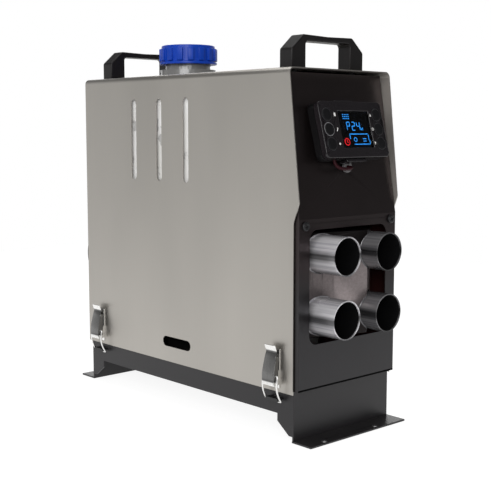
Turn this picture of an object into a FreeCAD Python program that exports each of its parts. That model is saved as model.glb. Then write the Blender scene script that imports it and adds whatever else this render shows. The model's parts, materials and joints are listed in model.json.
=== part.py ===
import FreeCAD, Part
import math
import os
from types import SimpleNamespace

import Sketcher

# A portable diesel air heater: a brushed steel cover latched onto a black base tray, with the
# tank, the pump and the burner inside. Millimetres, +Z up, front towards -Y.
# The origin is on the floor, in the middle of the base tray.

GIVEN = [
    ("case_width", 150, "outside width of the steel cover"),
    ("case_height", 375, "floor to the top of the steel cover"),
    ("cover_wall", 1.2, "sheet of the steel cover"),
    ("cover_bottom", 50, "floor to the lower edge of the cover"),
    ("back_proud", 1.5, "rear panel to the back edge of the cover"),
    ("cover_bend", 6, "outside radius of the cover's two long bends"),
    ("brow_setback", 14.5, "nose of the cover's front edge back to the edge of its top"),
    ("nose_proud", 1.5, "front panel to the nose of the cover's front edge"),
    ("nose_rise", 17, "bend of the front panel up to that nose"),
    ("nose_round", 8, "rounding of the nose and of the turn below it"),
    ("cheek_setback", 7.5, "that nose back to the cover's front edge below it"),
    ("cheek_drop", 3, "bend of the front panel down to where that edge turns upright"),
    ("vent_width", 9.8, "width of a sight slot in the cover"),
    ("vent_length", 92.5, "height of a sight slot"),
    ("vent_drop", 26.2, "top of the cover down to the head of a sight slot"),
    ("vent_pitch", 47.9, "sight slot to sight slot"),
    ("vent_middle", 35, "middle to the second sight slot"),
    ("drain_width", 50, "length of the low slot in the cover"),
    ("drain_height", 11.6, "height of the low slot"),
    ("drain_place", 5.7, "middle to the low slot's centre"),
    ("drain_level", 73.3, "floor to the low slot's centre"),
    ("foot_length", 410, "front edge of the front foot to the back edge of the rear foot"),
    ("foot_width", 146, "width of the feet"),
    ("tray_width", 145, "outside width of the base tray"),
    ("foot_depth", 25, "end wall of the tray to the outer edge of a foot"),
    ("tray_sheet", 2, "sheet of the base tray"),
    ("skirt_bottom", 26.5, "floor to the underside of the tray"),
    ("skirt_top", 62, "floor to the top of the tray's long walls"),
    ("end_top", 53.2, "floor to the top of the tray's end walls"),
    ("end_notch", 20, "length of the lowered ends of the long walls"),
    ("lip_depth", 14, "depth of the lip on each end wall"),
    ("gusset_width", 23.6, "length of the deep corners of the long walls"),
    ("gusset_low", 6, "floor to the foot of those corners"),
    ("gusset_slope", 12.7, "height of the cut corner there"),
    ("gusset_toe", 6.6, "flat foot of those corners"),
    ("bolt_hole", 6.6, "bore of the bolt holes in the feet"),
    ("bolt_spacing", 78, "bolt hole to bolt hole across a foot"),
    ("bolt_shift", -8.7, "middle of the bolt holes from the middle of the foot"),
    ("bolt_inset", 5.5, "bolt hole to the outer edge of the foot"),
    ("panel_sheet", 1.2, "sheet of the front and rear panels"),
    ("panel_width", 146, "width of the front and rear panels"),
    ("panel_headroom", 4, "top of the cover down to the top of the panels"),
    ("panel_flange", 12, "depth of the panels' side flanges"),
    ("front_proud", 7, "end wall of the tray to the upright part of the front panel"),
    ("front_bend", 226, "floor to the bend in the front panel"),
    ("front_tilt", 9.6, "lean of the front panel above its bend, degrees"),
    ("rear_proud", 1.5, "end wall of the tray to the outer face of the rear panel"),
    ("window_size", 116, "side of the square opening for the outlets"),
    ("window_round", 10, "corner radius of that opening"),
    ("gland_place", 46, "middle to the power gland"),
    ("gland_level", 262, "floor to the power gland"),
    ("gland_radius", 8, "radius of the power gland's thread"),
    ("handle_width", 106.6, "outside width of a handle"),
    ("handle_depth", 18, "depth of a handle"),
    ("handle_height", 34.5, "height of a handle over the cover"),
    ("handle_bar", 6.5, "thickness of a handle's grip bar"),
    ("handle_dip", 0.9, "hollow in the middle of the grip bar's top"),
    ("handle_leg", 20.3, "width of a handle's leg"),
    ("handle_shoulder", 16.8, "width of a handle's sloping shoulder"),
    ("handle_slope", 14.7, "height of a handle's sloping shoulder"),
    ("handle_round", 4, "corner radius of the finger gap"),
    ("handle_ease", 1.6, "rounding of a handle's long edges"),
    ("front_grip_setback", 27.4, "front edge of the cover's top to the front handle"),
    ("rear_grip_setback", 16.2, "back edge of the cover to the rear handle"),
    ("screw_radius", 2.4, "shank of the case screws"),
    ("screw_head", 4.6, "head radius of the case screws"),
    ("screw_cap", 2.4, "head height of the case screws"),
    ("screw_grip", 9, "length of a case screw's shank"),
    ("screw_slack", 0.12, "clearance around a screw's shank"),
    ("panel_screw_place", 64.5, "middle to the screws at the sides of the panels"),
    ("panel_screw_drop", 6.5, "bend of the front panel down to those screws"),
    ("lip_screw_place", 48, "middle to the screws in the panels' lower flanges"),
    ("shelf_width", 140, "width of the tank shelf"),
    ("shelf_sheet", 1.5, "sheet of the tank shelf"),
    ("shelf_leg", 34, "width of a shelf leg"),
    ("front_leg_setback", 125, "front panel to the front legs of the shelf"),
    ("rear_leg_setback", 41.5, "rear panel to the rear legs of the shelf"),
    ("shelf_foot", 12, "length of the turned foot of a shelf leg"),
    ("shelf_tab", 16, "width of a tab that the panels are screwed to"),
    ("shelf_drop", 13, "height of those tabs"),
    ("shelf_setback", 3.5, "rear panel to the back edge of the shelf"),
    ("tank_width", 142, "width of the fuel tank"),
    ("tank_front_setback", 112, "front panel to the front of the tank"),
    ("tank_back_setback", 16.5, "rear panel to the back of the tank"),
    ("tank_headroom", 9, "top of the cover down to the top of the tank"),
    ("tank_wall", 3, "wall of the tank"),
    ("tank_round", 14, "corner radius of the tank"),
    ("seat_gap", 0.3, "clearance between pieces that rest on each other"),
    ("tank_outlet_side", 50, "middle to the hose outlet of the tank"),
    ("tank_outlet_back", 56, "back of the tank to that outlet"),
    ("filler_setback", 91, "back of the tank to the middle of the filler neck"),
    ("shoulder_radius", 33, "radius of the tank's raised shoulder"),
    ("shoulder_rise", 9.6, "top of the cover up to the top of that shoulder"),
    ("shoulder_gap", 1.2, "clearance of that shoulder in the cover"),
    ("neck_radius", 27, "outside radius of the filler neck"),
    ("neck_wall", 3, "wall of the filler neck"),
    ("neck_height", 24, "that shoulder up to the rim of the neck"),
    ("cap_gap", 6.4, "that shoulder up to the lower edge of the cap"),
    ("cap_room", 0.4, "clearance between the seal and the cap's top"),
    ("cap_radius", 32, "radius of the cap's drum"),
    ("cap_crown", 31, "radius of the cap's top"),
    ("cap_rim_radius", 34, "radius of the band at the cap's lower edge"),
    ("cap_rim", 2.8, "height of that band"),
    ("cap_roof", 2.2, "thickness of the cap's top"),
    ("cap_slack", 0.5, "clearance between cap and neck"),
    ("rib_radius", 3.2, "radius of a grip rib"),
    ("rib_reach", 31.8, "axis of the cap to the axis of a grip rib"),
    ("rib_drop", 3.4, "top of the cap down to the top of the ribs"),
    ("rib_count", 16, "number of grip ribs"),
    ("seal_thickness", 2, "thickness of the cap's seal"),
    ("face_width", 94, "width of the control unit"),
    ("face_height", 58.3, "height of the control unit"),
    ("face_tilt", 15.5, "lean of the control unit, degrees"),
    ("face_standoff", 20.2, "front panel to the centre of its face, along the case"),
    ("face_lift", 16.1, "middle of the leaning panel up to the centre of its face"),
    ("face_depth", 15, "depth of the control unit"),
    ("face_split", 7, "depth of its front half"),
    ("face_wall", 2, "wall of its two halves"),
    ("face_round", 5, "corner radius of the control unit"),
    ("screen_width", 46, "width of the display window"),
    ("screen_height", 38, "height of the display window"),
    ("screen_shift", 2.8, "centre of the display window from the centre of the face"),
    ("lens_thickness", 1.2, "thickness of the clear window"),
    ("lens_inset", 0.4, "face back to the clear window"),
    ("display_depth", 3.5, "depth of the display behind the window"),
    ("display_margin", 2, "overlap of the display behind the window's edge"),
    ("board_thickness", 1.6, "thickness of the control unit's board"),
    ("board_place", 8.2, "face to the control unit's board"),
    ("button_radius", 6.2, "radius of a button"),
    ("button_column", 37, "centre of the face to a column of buttons"),
    ("button_pitch", 15, "button to button in a column"),
    ("button_rise", 0.9, "height of a button over the face"),
    ("button_ease", 0.6, "rounding of a button's rim"),
    ("button_flange", 0.9, "overlap and thickness of a button's hidden flange"),
    ("button_stem", 2, "radius of a button's stem"),
    ("button_travel", 0.8, "travel of a button"),
    ("bracket_width", 62, "width of the control unit's wedge bracket"),
    ("clip_width", 30, "width of the bracket's clips"),
    ("clip_thickness", 2.6, "thickness of the bracket's clips"),
    ("clip_reach", 9, "overlap of the clips on the control unit"),
    ("clip_shift", 2, "middle to the middle of the lower clip"),
    ("lead_radius", 2.1, "radius of the control unit's lead"),
    ("lead_place", -27, "middle to where the lead leaves the control unit"),
    ("lead_hole", 2, "middle to where the lead passes the panel"),
    ("lead_drop", 38.4, "centre of the control unit's face down to that hole"),
    ("grommet_radius", 6, "radius of the lead's grommet"),
    ("unit_width", 80, "width of the heater's own control box"),
    ("unit_setback", 37, "front panel to the front of the control box"),
    ("unit_length", 55, "length of the control box"),
    ("unit_height", 24, "height of the control box"),
    ("shell_headroom", 5.3, "shelf down to the heater's shells"),
    ("shell_radius", 62, "outside radius of the heater's shells"),
    ("shell_wall", 2.5, "wall of the heater's shells"),
    ("shell_front_setback", 59, "front panel to the front of the shells"),
    ("shell_back_setback", 33.5, "rear panel to the back of the shells"),
    ("collar_radius", 45, "outside radius of the warm air collar"),
    ("collar_slack", 0.5, "clearance around that collar"),
    ("chamber_side_gap", 4.4, "opening for the outlets to the sides of the outlet chamber"),
    ("chamber_top_gap", 4.2, "that opening to the top and the foot of the chamber"),
    ("ridge_proud", 7, "front panel to the ridge of the chamber's face"),
    ("ridge_shift", 20, "middle to that ridge"),
    ("left_slope", 0.3, "fall of the chamber's face from the ridge to the left"),
    ("right_slope", 0.73, "fall of the chamber's face from the ridge to the right"),
    ("chamber_wall", 1.5, "wall of the outlet chamber"),
    ("chamber_gap", 3, "outlet chamber to the shells"),
    ("collar_depth", 9, "length of the collar inside the shells"),
    ("stub_radius", 20, "outside radius of an outlet stub"),
    ("stub_wall", 1.2, "wall of an outlet stub"),
    ("stub_proud", 26.7, "front panel to the mouth of an outlet stub"),
    ("stub_depth", 19, "front panel back to the root of an outlet stub"),
    ("spigot_step", 0.3, "reduction of the stubs and pipes where they are seated"),
    ("hose_room", 1.2, "chamber's ridge to the free length of a stub"),
    ("stub_slack", 0.15, "clearance around an outlet stub"),
    ("core_radius", 44, "outside radius of the heat exchanger"),
    ("core_wall", 5, "wall of the heat exchanger"),
    ("core_gap", 28, "front of the shells to the heat exchanger"),
    ("fan_setback", 18.5, "back of the shells to the warm air fan"),
    ("fin_gap", 1.5, "fins to the inside of the shells"),
    ("fin_thickness", 2.2, "thickness of a fin"),
    ("fin_count", 20, "number of fins"),
    ("foot_block_width", 50, "width of the exchanger's foot"),
    ("foot_block_length", 98, "length of that foot"),
    ("foot_overhang", 31, "back of the heat exchanger to the back of that foot"),
    ("stool_gap", 17.2, "shells down to the heater's stool"),
    ("stool_sheet", 2, "sheet of the heater's stool"),
    ("stool_width", 76, "width of the heater's stool"),
    ("stool_margin", 6, "stool past the exchanger's foot"),
    ("stool_toe", 14, "length of the stool's turned feet"),
    ("pipe_radius", 12, "outside radius of the exhaust and air pipes"),
    ("pipe_wall", 1.5, "wall of those pipes"),
    ("pipe_end", 15, "floor to the mouth of those pipes"),
    ("pipe_seat", 10, "depth of those pipes in the exchanger's foot"),
    ("pipe_slack", 0.15, "clearance around those pipes in the foot"),
    ("pipe_room", 9, "clearance around those pipes in the tray"),
    ("pipe_inset", 22, "ends of the exchanger's foot to the two pipes"),
    ("pipe_shift", 8, "middle to both pipes sideways"),
    ("burner_radius", 26, "outside radius of the burner tube"),
    ("burner_wall", 2, "wall of the burner tube"),
    ("burner_gap", 30, "front of the heat exchanger to the open end of the burner tube"),
    ("burner_flange", 3, "thickness of the burner's flange"),
    ("housing_radius", 40, "outside radius of the blower housing"),
    ("housing_depth", 24, "length of the blower housing"),
    ("housing_wall", 3.5, "wall of the blower housing"),
    ("motor_radius", 28, "radius of the motor"),
    ("motor_length", 46, "length of the motor"),
    ("shaft_radius", 3, "radius of the motor shaft"),
    ("shaft_slack", 0.05, "running fit of the shaft"),
    ("hub_slack", 0.02, "fit of the wheels on the shaft"),
    ("wheel_radius", 33, "radius of the combustion air wheel"),
    ("wheel_depth", 11, "depth of the combustion air wheel"),
    ("wheel_blades", 12, "blades of the combustion air wheel"),
    ("fan_gap", 3.5, "warm air fan to the inside of the shells"),
    ("fan_depth", 24, "depth of the warm air fan"),
    ("fan_hub", 18, "hub radius of the warm air fan"),
    ("fan_blades", 9, "blades of the warm air fan"),
    ("blade_thickness", 1.8, "thickness of fan and wheel blades"),
    ("blade_pitch", 32, "lean of the fan's blades, degrees"),
    ("run_gap", 2.5, "axial gap between running and fixed pieces"),
    ("plug_radius", 5, "radius of the glow plug"),
    ("plug_setback", 21, "back of the heat exchanger to the glow plug"),
    ("plug_gap", 1.5, "glow plug to the inside of the shells"),
    ("guard_inset", 3, "outside of the shells in to the outside of the intake guard's tube"),
    ("guard_wall", 2.5, "wall of the intake guard's tube"),
    ("guard_proud", 27.5, "rear panel to the outside of the intake guard"),
    ("guard_bar", 3, "depth and width of the guard's bars"),
    ("guard_brim", 6, "width of the guard's brim on the rear panel"),
    ("guard_spokes", 8, "spokes of the guard"),
    ("guard_rings", 3, "inner rings of the guard"),
    ("guard_hub", 8.5, "radius of the disc in the middle of the guard"),
    ("guard_gap", 0.6, "clearance around the guard in the rear panel"),
    ("pump_radius", 12, "radius of the fuel pump"),
    ("pump_front", -50, "middle to the front of the pump"),
    ("pump_length", 112, "length of the pump"),
    ("pump_place", 54, "middle to the pump sideways"),
    ("pump_rise", 21.5, "floor of the tray to the axis of the pump"),
    ("pump_nipple", 10, "length of the pump's hose nipples"),
    ("hose_radius", 2.5, "radius of the fuel hoses"),
    ("hose_side", 5.5, "heater's shells to the middle of the suction hose"),
    ("mount_length", 16, "length of the pump's rubber mount"),
    ("mount_wall", 2.5, "wall of the pump's rubber mount"),
    ("mount_width", 12, "width of the mount's foot"),
    ("latch_setback", 24, "end wall of the tray to the middle of a latch"),
    ("tab_height", 8, "neck of a lever up to its top"),
    ("lever_drop", 3, "lever's pivot down to its foot"),
    ("lever_width", 17, "width of a latch lever"),
    ("lever_sheet", 1.2, "sheet of the latches"),
    ("lever_foot", 11.6, "cover to the outside of a lever's foot"),
    ("waist_rise", 12, "lever's pivot up to its bend"),
    ("lever_neck", 5.6, "cover to the outside of a lever's neck"),
    ("lever_neck_rise", 30, "lever's pivot up to its neck"),
    ("lever_flare", 2.4, "flare of the tab at a lever's top"),
    ("pivot_out", 6, "cover to the lever's pivot"),
    ("pivot_rise", 11, "lower edge of the cover to the lever's pivot"),
    ("pivot_radius", 1.5, "radius of the lever's pin"),
    ("pivot_slack", 0.05, "running fit of the lever's pin"),
    ("throw", 7, "lever's pivot to the bail's pivot"),
    ("throw_lean", 10, "lean of that line, degrees"),
    ("bail_radius", 1.1, "radius of the bail's wire"),
    ("bail_half", 10.3, "middle of a latch to the bail's arm"),
    ("bail_bend", 1.2, "bend radius of the bail, along its middle"),
    ("bail_out", 2, "cover to the bail's cross bar"),
    ("bail_drop", 20.3, "lever's pivot down to the bail's cross bar"),
    ("hook_width", 17.4, "width of a catch hook"),
    ("hook_sheet", 2, "thickness of a catch hook"),
    ("hook_gap", 1.4, "cross bar to the lip of the hook"),
    ("plate_rise", 33, "lever's pivot up to the top of a latch's plate"),
    ("plate_drop", 7, "lever's pivot down to the foot of a latch's plate"),
    ("ear_gap", 0.4, "lever's cheek to the plate's ear"),
]

# Places that follow from the sizes: each one keeps a piece with the piece that carries it
DERIVED = [
    ("tray_end", "foot_length / 2 - foot_depth", "middle to the outside of the tray's end walls"),
    ("tray_floor", "skirt_bottom + tray_sheet", "floor to the inside of the tray"),
    ("front_reach", "tray_end + front_proud", "middle to the upright part of the front panel"),
    ("rear_reach", "tray_end + rear_proud", "middle to the outer face of the rear panel"),
    ("cover_back", "rear_reach + back_proud", "middle to the back edge of the cover"),
    ("nose_reach", "front_reach + nose_proud", "middle to the nose of the cover's front edge"),
    ("brow_reach", "nose_reach - brow_setback", "middle to the front edge of the cover's top"),
    ("cheek_reach", "nose_reach - cheek_setback", "middle to the cover's front edge below the nose"),
    ("nose_height", "front_bend + nose_rise", "floor to the nose"),
    ("cheek_height", "front_bend - cheek_drop", "floor to where the front edge turns upright"),
    ("panel_top", "case_height - panel_headroom", "floor to the top of the panels"),
    ("panel_bottom", "end_top + seat_gap", "floor to the lower edge of the panels"),
    ("panel_screw_level", "front_bend - panel_screw_drop", "floor to the panels' side screws"),
    ("vent_high", "case_height - vent_drop", "floor to the head of a sight slot"),
    ("vent_low", "vent_high - vent_length", "floor to the foot of a sight slot"),
    ("handle_window", "handle_width - 2 * handle_leg", "width of the finger gap"),
    ("front_grip", "brow_reach - front_grip_setback", "middle to the front handle"),
    ("rear_grip", "cover_back - rear_grip_setback", "middle to the rear handle"),
    ("shelf_front_leg", "front_leg_setback - front_reach", "middle to the front legs of the shelf"),
    ("shelf_rear_leg", "rear_reach - rear_leg_setback", "middle to the rear legs of the shelf"),
    ("shelf_back", "rear_reach - shelf_setback", "middle to the back edge of the shelf"),
    ("shelf_under", "front_bend - shelf_sheet", "floor to the underside of the shelf"),
    ("tank_front", "tank_front_setback - front_reach", "middle to the front of the tank"),
    ("tank_back", "rear_reach - tank_back_setback", "middle to the back of the tank"),
    ("tank_floor", "front_bend + seat_gap", "floor to the underside of the tank"),
    ("tank_top", "case_height - tank_headroom", "floor to the top of the tank"),
    ("filler_place", "tank_back - filler_setback", "middle to the filler neck"),
    ("shoulder_top", "case_height + shoulder_rise", "floor to the top of the tank's shoulder"),
    ("neck_top", "shoulder_top + neck_height", "floor to the rim of the neck"),
    ("cap_bottom", "shoulder_top + cap_gap", "floor to the lower edge of the cap"),
    ("cap_top", "neck_top + seat_gap + seal_thickness + cap_room + cap_roof", "floor to the cap's top"),
    ("face_level", "(front_bend + panel_top) / 2 + face_lift", "floor to the centre of that unit's face"),
    ("face_fall", "(face_level - front_bend) * tan(front_tilt * 1 deg)", "lean of the panel up to there"),
    ("face_place", "front_reach - face_fall + face_standoff", "middle to the centre of that face"),
    ("lead_level", "face_level - lead_drop", "floor to where the lead passes the panel"),
    ("unit_front", "unit_setback - front_reach", "middle to the front of the control box"),
    ("axis_level", "shelf_under - shell_radius - shell_headroom", "floor to the axis of the heater"),
    ("shell_front", "shell_front_setback - front_reach", "middle to the front of the shells"),
    ("shell_back", "rear_reach - shell_back_setback", "middle to the back of the shells"),
    ("shell_bore", "shell_radius - shell_wall", "inside radius of the shells"),
    ("fin_radius", "shell_bore - fin_gap", "radius over the fins"),
    ("fan_radius", "shell_bore - fan_gap", "radius of the warm air fan"),
    ("plug_length", "shell_bore - plug_gap - burner_radius - core_wall", "length of the glow plug"),
    ("guard_radius", "shell_radius - guard_inset", "outside radius of the intake guard's tube"),
    ("stool_top", "axis_level - shell_radius - stool_gap", "floor to the top of the heater's stool"),
    ("chamber_width", "window_size - 2 * chamber_side_gap", "width of the outlet chamber"),
    ("chamber_height", "window_size - 2 * chamber_top_gap", "height of the outlet chamber"),
    ("chamber_ridge", "front_reach + ridge_proud", "middle to the ridge of the chamber's face"),
    ("stub_end", "front_reach + stub_proud", "middle to the mouth of an outlet stub"),
    ("stub_root", "front_reach - stub_depth", "middle to the root of an outlet stub"),
    ("stub_inset", "chamber_wall + seat_gap + stub_radius", "chamber's outside to the axis of a stub"),
    ("stub_column", "chamber_width / 2 - stub_inset", "middle to a column of stubs"),
    ("stub_row", "chamber_height / 2 - stub_inset", "heater's axis to a row of stubs"),
    ("left_run", "ridge_shift + stub_column - stub_radius", "ridge to the near side of a left stub"),
    ("left_fall", "left_slope * left_run", "ridge back to the face there"),
    ("left_free", "stub_end - chamber_ridge + left_fall - hose_room", "free length of a left stub"),
    ("right_free", "stub_end - chamber_ridge - hose_room", "free length of a right stub"),
    ("core_front", "shell_front + core_gap", "middle to the front of the heat exchanger"),
    ("shaft_back", "shell_back - fan_setback", "middle to the back of the warm air fan"),
    ("motor_back", "shaft_back - fan_depth - run_gap", "middle to the back of the motor"),
    ("housing_back", "motor_back - motor_length", "middle to the back of the blower housing"),
    ("core_back", "housing_back - housing_depth", "middle to the back of the heat exchanger"),
    ("foot_block_back", "core_back + foot_overhang", "middle to the back of the exchanger's foot"),
    ("foot_block_front", "foot_block_back - foot_block_length", "middle to the front of that foot"),
    ("exhaust_place", "foot_block_front + pipe_inset", "middle to the exhaust pipe"),
    ("air_place", "foot_block_back - pipe_inset", "middle to the combustion air pipe"),
    ("burner_front", "core_front + burner_gap", "middle to the open end of the burner tube"),
    ("plug_place", "core_back - plug_setback", "middle to the glow plug"),
    ("guard_end", "rear_reach + guard_proud", "middle to the outside of the intake guard"),
    ("pump_back", "pump_front + pump_length", "middle to the back of the pump"),
    ("pump_level", "tray_floor + pump_rise", "floor to the axis of the pump"),
    ("latch_place", "tray_end - latch_setback", "middle to the latches along the case"),
    ("pivot_level", "cover_bottom + pivot_rise", "floor to a lever's pivot"),
    ("latch_bottom", "pivot_level - lever_drop", "floor to the foot of a lever"),
    ("lever_waist", "pivot_level + waist_rise", "floor to the bend of a lever"),
    ("lever_neck_level", "pivot_level + lever_neck_rise", "floor to the neck of a lever"),
    ("latch_top", "lever_neck_level + tab_height", "floor to the top of a lever"),
    ("plate_high", "pivot_level + plate_rise", "floor to the top of a latch's plate"),
    ("plate_low", "pivot_level - plate_drop", "floor to the foot of a latch's plate"),
    ("bail_level", "pivot_level - bail_drop", "floor to the bail's cross bar"),
]

doc = FreeCAD.newDocument("diesel_heater")
sheet = doc.addObject("Spreadsheet::Sheet", "Sizes")


class Size:
    """A number together with the expression that gives it from the sheet."""

    def __init__(self, number, text=None):
        self.number = float(number)
        self.text = text or "({:.6g})".format(self.number)

    def __add__(self, other):
        other = as_size(other)
        return Size(self.number + other.number, "({} + {})".format(self.text, other.text))

    def __sub__(self, other):
        other = as_size(other)
        return Size(self.number - other.number, "({} - {})".format(self.text, other.text))

    def __mul__(self, other):
        other = as_size(other)
        return Size(self.number * other.number, "({} * {})".format(self.text, other.text))

    def __truediv__(self, other):
        other = as_size(other)
        return Size(self.number / other.number, "({} / {})".format(self.text, other.text))

    def __rsub__(self, other):
        return as_size(other) - self

    def __neg__(self):
        return self * -1

    __radd__ = __add__
    __rmul__ = __mul__


def as_size(amount):
    return amount if isinstance(amount, Size) else Size(amount)


def sine(angle):
    return Size(math.sin(math.radians(angle.number)), "sin({} * 1 deg)".format(angle.text))


def cosine(angle):
    return Size(math.cos(math.radians(angle.number)), "cos({} * 1 deg)".format(angle.text))


def tangent(angle):
    return Size(math.tan(math.radians(angle.number)), "tan({} * 1 deg)".format(angle.text))


def fill_sheet():
    """Writes the sizes and what follows from them into the sheet, and gives them back by name."""
    rows = [(alias, str(number), meaning) for alias, number, meaning in GIVEN]
    rows += [(alias, "=" + formula, meaning) for alias, formula, meaning in DERIVED]
    for row, (alias, content, meaning) in enumerate(rows, start=1):
        sheet.set("A{}".format(row), meaning)
        sheet.set("B{}".format(row), content)
        sheet.setAlias("B{}".format(row), alias)
    doc.recompute()
    return SimpleNamespace(**{alias: Size(sheet.get(alias), "Sizes." + alias) for alias, _, _ in rows})


s = fill_sheet()
nodes = []


def node(name, thing):
    """Gives a finished sub-part the name that its file takes."""
    thing.Label = name
    nodes.append(thing)
    return thing


def bind(thing, path, amount):
    thing.setExpression(path, as_size(amount).text)


# Solid primitives, set between limits along the axes

TURN_TO = {
    "x": FreeCAD.Rotation(FreeCAD.Vector(0, 1, 0), 90),
    "y": FreeCAD.Rotation(FreeCAD.Vector(1, 0, 0), -90),
    "z": FreeCAD.Rotation(),
}


def block(x, y, z):
    """A box between a low and a high limit on each axis."""
    thing = doc.addObject("Part::Box", "block")
    for side, letter, (low, high) in zip(("Length", "Width", "Height"), "xyz", (x, y, z)):
        bind(thing, side, high - low)
        bind(thing, "Placement.Base." + letter, low)
    return thing


def rod(axis, centre, radius, low, high):
    """A round bar from low to high along an axis, about a centre on the other two axes."""
    thing = doc.addObject("Part::Cylinder", "rod")
    thing.Placement = FreeCAD.Placement(FreeCAD.Vector(), TURN_TO[axis])
    bind(thing, "Radius", radius)
    bind(thing, "Height", high - low)
    others = [letter for letter in "xyz" if letter != axis]
    bind(thing, "Placement.Base." + axis, low)
    for letter, amount in zip(others, centre):
        bind(thing, "Placement.Base." + letter, amount)
    return thing


def fuse(*things):
    thing = doc.addObject("Part::MultiFuse", "fuse")
    thing.Shapes = list(things)
    return thing


def cut(base, *tools):
    thing = doc.addObject("Part::Cut", "cut")
    thing.Base = base
    thing.Tool = tools[0] if len(tools) == 1 else fuse(*tools)
    return thing


def group(name, things):
    """Like pieces that share one node, each still a solid of its own."""
    thing = doc.addObject("Part::Compound", name)
    thing.Links = things
    return node(name, thing)


RUN_SHARE = 0.45


def bent_wire(name, points, radius, bend=None):
    """A round wire along straight runs, with a tangent arc at each turn.

    A hose has no bend radius of its own: each of its arcs is as large as the two runs allow.
    """
    spots = [FreeCAD.Vector(*[as_size(c).number for c in point]) for point in points]
    edges = []
    radii = []
    start = spots[0]
    for before, corner, after in zip(spots, spots[1:], spots[2:]):
        shorter = min((before - corner).Length, (after - corner).Length)
        to_start = (before - corner).normalize()
        to_end = (after - corner).normalize()
        half = to_start.getAngle(to_end) / 2
        arc = bend.number if bend else RUN_SHARE * shorter * math.tan(half)
        reach = arc / math.tan(half)
        enter = corner + to_start * reach
        leave = corner + to_end * reach
        crest = corner + (to_start + to_end).normalize() * (arc / math.sin(half) - arc)
        edges.append(Part.LineSegment(start, enter).toShape())
        edges.append(Part.Arc(enter, crest, leave).toShape())
        radii.append("{:.0f}".format(arc))
        start = leave
    edges.append(Part.LineSegment(start, spots[-1]).toShape())
    path = Part.Wire(edges)
    ring = Part.Wire([Part.Circle(spots[0], spots[1] - spots[0], radius.number).toShape()])
    thing = doc.addObject("Part::Feature", name)
    thing.Shape = path.makePipeShell([ring], True, False)
    expected = path.Length * math.pi * radius.number**2
    if abs(thing.Shape.Volume - expected) > 0.02 * expected:
        raise RuntimeError(name + " has lost some of its section")
    print("{}: {:.0f} mm long, bend radii {} mm".format(name, path.Length, ", ".join(radii)))
    return thing


# Bodies that grow by sketched features

PLANE_ACROSS = {"x": "YZ_Plane", "y": "XZ_Plane", "z": "XY_Plane"}
SMALL = 1e-4


def hold(drawing, geometry, end, point):
    """Ties a point of a sketch to its two coordinates."""
    for kind, axis, amount in zip(("DistanceX", "DistanceY"), (-2, -1), point):
        amount = as_size(amount)
        if abs(amount.number) < SMALL:
            drawing.addConstraint(Sketcher.Constraint("PointOnObject", geometry, end, axis))
            continue
        rule = Sketcher.Constraint(kind, -1, 1, geometry, end, amount.number)
        index = drawing.addConstraint(rule)
        bind(drawing, "Constraints[{}]".format(index), amount)


def flat_point(point):
    return FreeCAD.Vector(as_size(point[0]).number, as_size(point[1]).number, 0)


def polygon(*points):
    """An outline of straight sides."""

    def draw(drawing):
        first = drawing.GeometryCount
        corners = [flat_point(point) for point in points]
        for corner, following in zip(corners, corners[1:] + corners[:1]):
            drawing.addGeometry(Part.LineSegment(corner, following))
        for index, point in enumerate(points):
            following = (index + 1) % len(points)
            rule = Sketcher.Constraint("Coincident", first + index, 2, first + following, 1)
            drawing.addConstraint(rule)
            hold(drawing, first + index, 1, point)

    return draw


def rectangle(u, v):
    return polygon((u[0], v[0]), (u[1], v[0]), (u[1], v[1]), (u[0], v[1]))


def circle(centre, radius):
    def draw(drawing):
        spot = flat_point(centre)
        index = drawing.addGeometry(Part.Circle(spot, FreeCAD.Vector(0, 0, 1), as_size(radius).number))
        hold(drawing, index, 3, centre)
        rule = drawing.addConstraint(Sketcher.Constraint("Radius", index, as_size(radius).number))
        bind(drawing, "Constraints[{}]".format(rule), radius)

    return draw


def slot(start, end, radius):
    """A round-ended slot between the centres of its two ends."""

    def draw(drawing):
        first, last = flat_point(start), flat_point(end)
        along = (last - first).normalize()
        side = FreeCAD.Vector(-along.y, along.x, 0) * radius.number
        turn = math.atan2(side.y, side.x)
        normal = FreeCAD.Vector(0, 0, 1)
        near = Part.ArcOfCircle(Part.Circle(first, normal, radius.number), turn, turn + math.pi)
        far = Part.ArcOfCircle(Part.Circle(last, normal, radius.number), turn + math.pi, turn + 2 * math.pi)
        pieces = [
            near, Part.LineSegment(first - side, last - side),
            far, Part.LineSegment(last + side, first + side),
        ]
        base = drawing.GeometryCount
        for piece in pieces:
            drawing.addGeometry(piece)
        for index in range(len(pieces)):
            following = (index + 1) % len(pieces)
            drawing.addConstraint(Sketcher.Constraint("Tangent", base + index, 2, base + following, 1))
        hold(drawing, base, 3, start)
        hold(drawing, base + 2, 3, end)
        rule = drawing.addConstraint(Sketcher.Constraint("Radius", base, radius.number))
        bind(drawing, "Constraints[{}]".format(rule), radius)

    return draw


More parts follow.
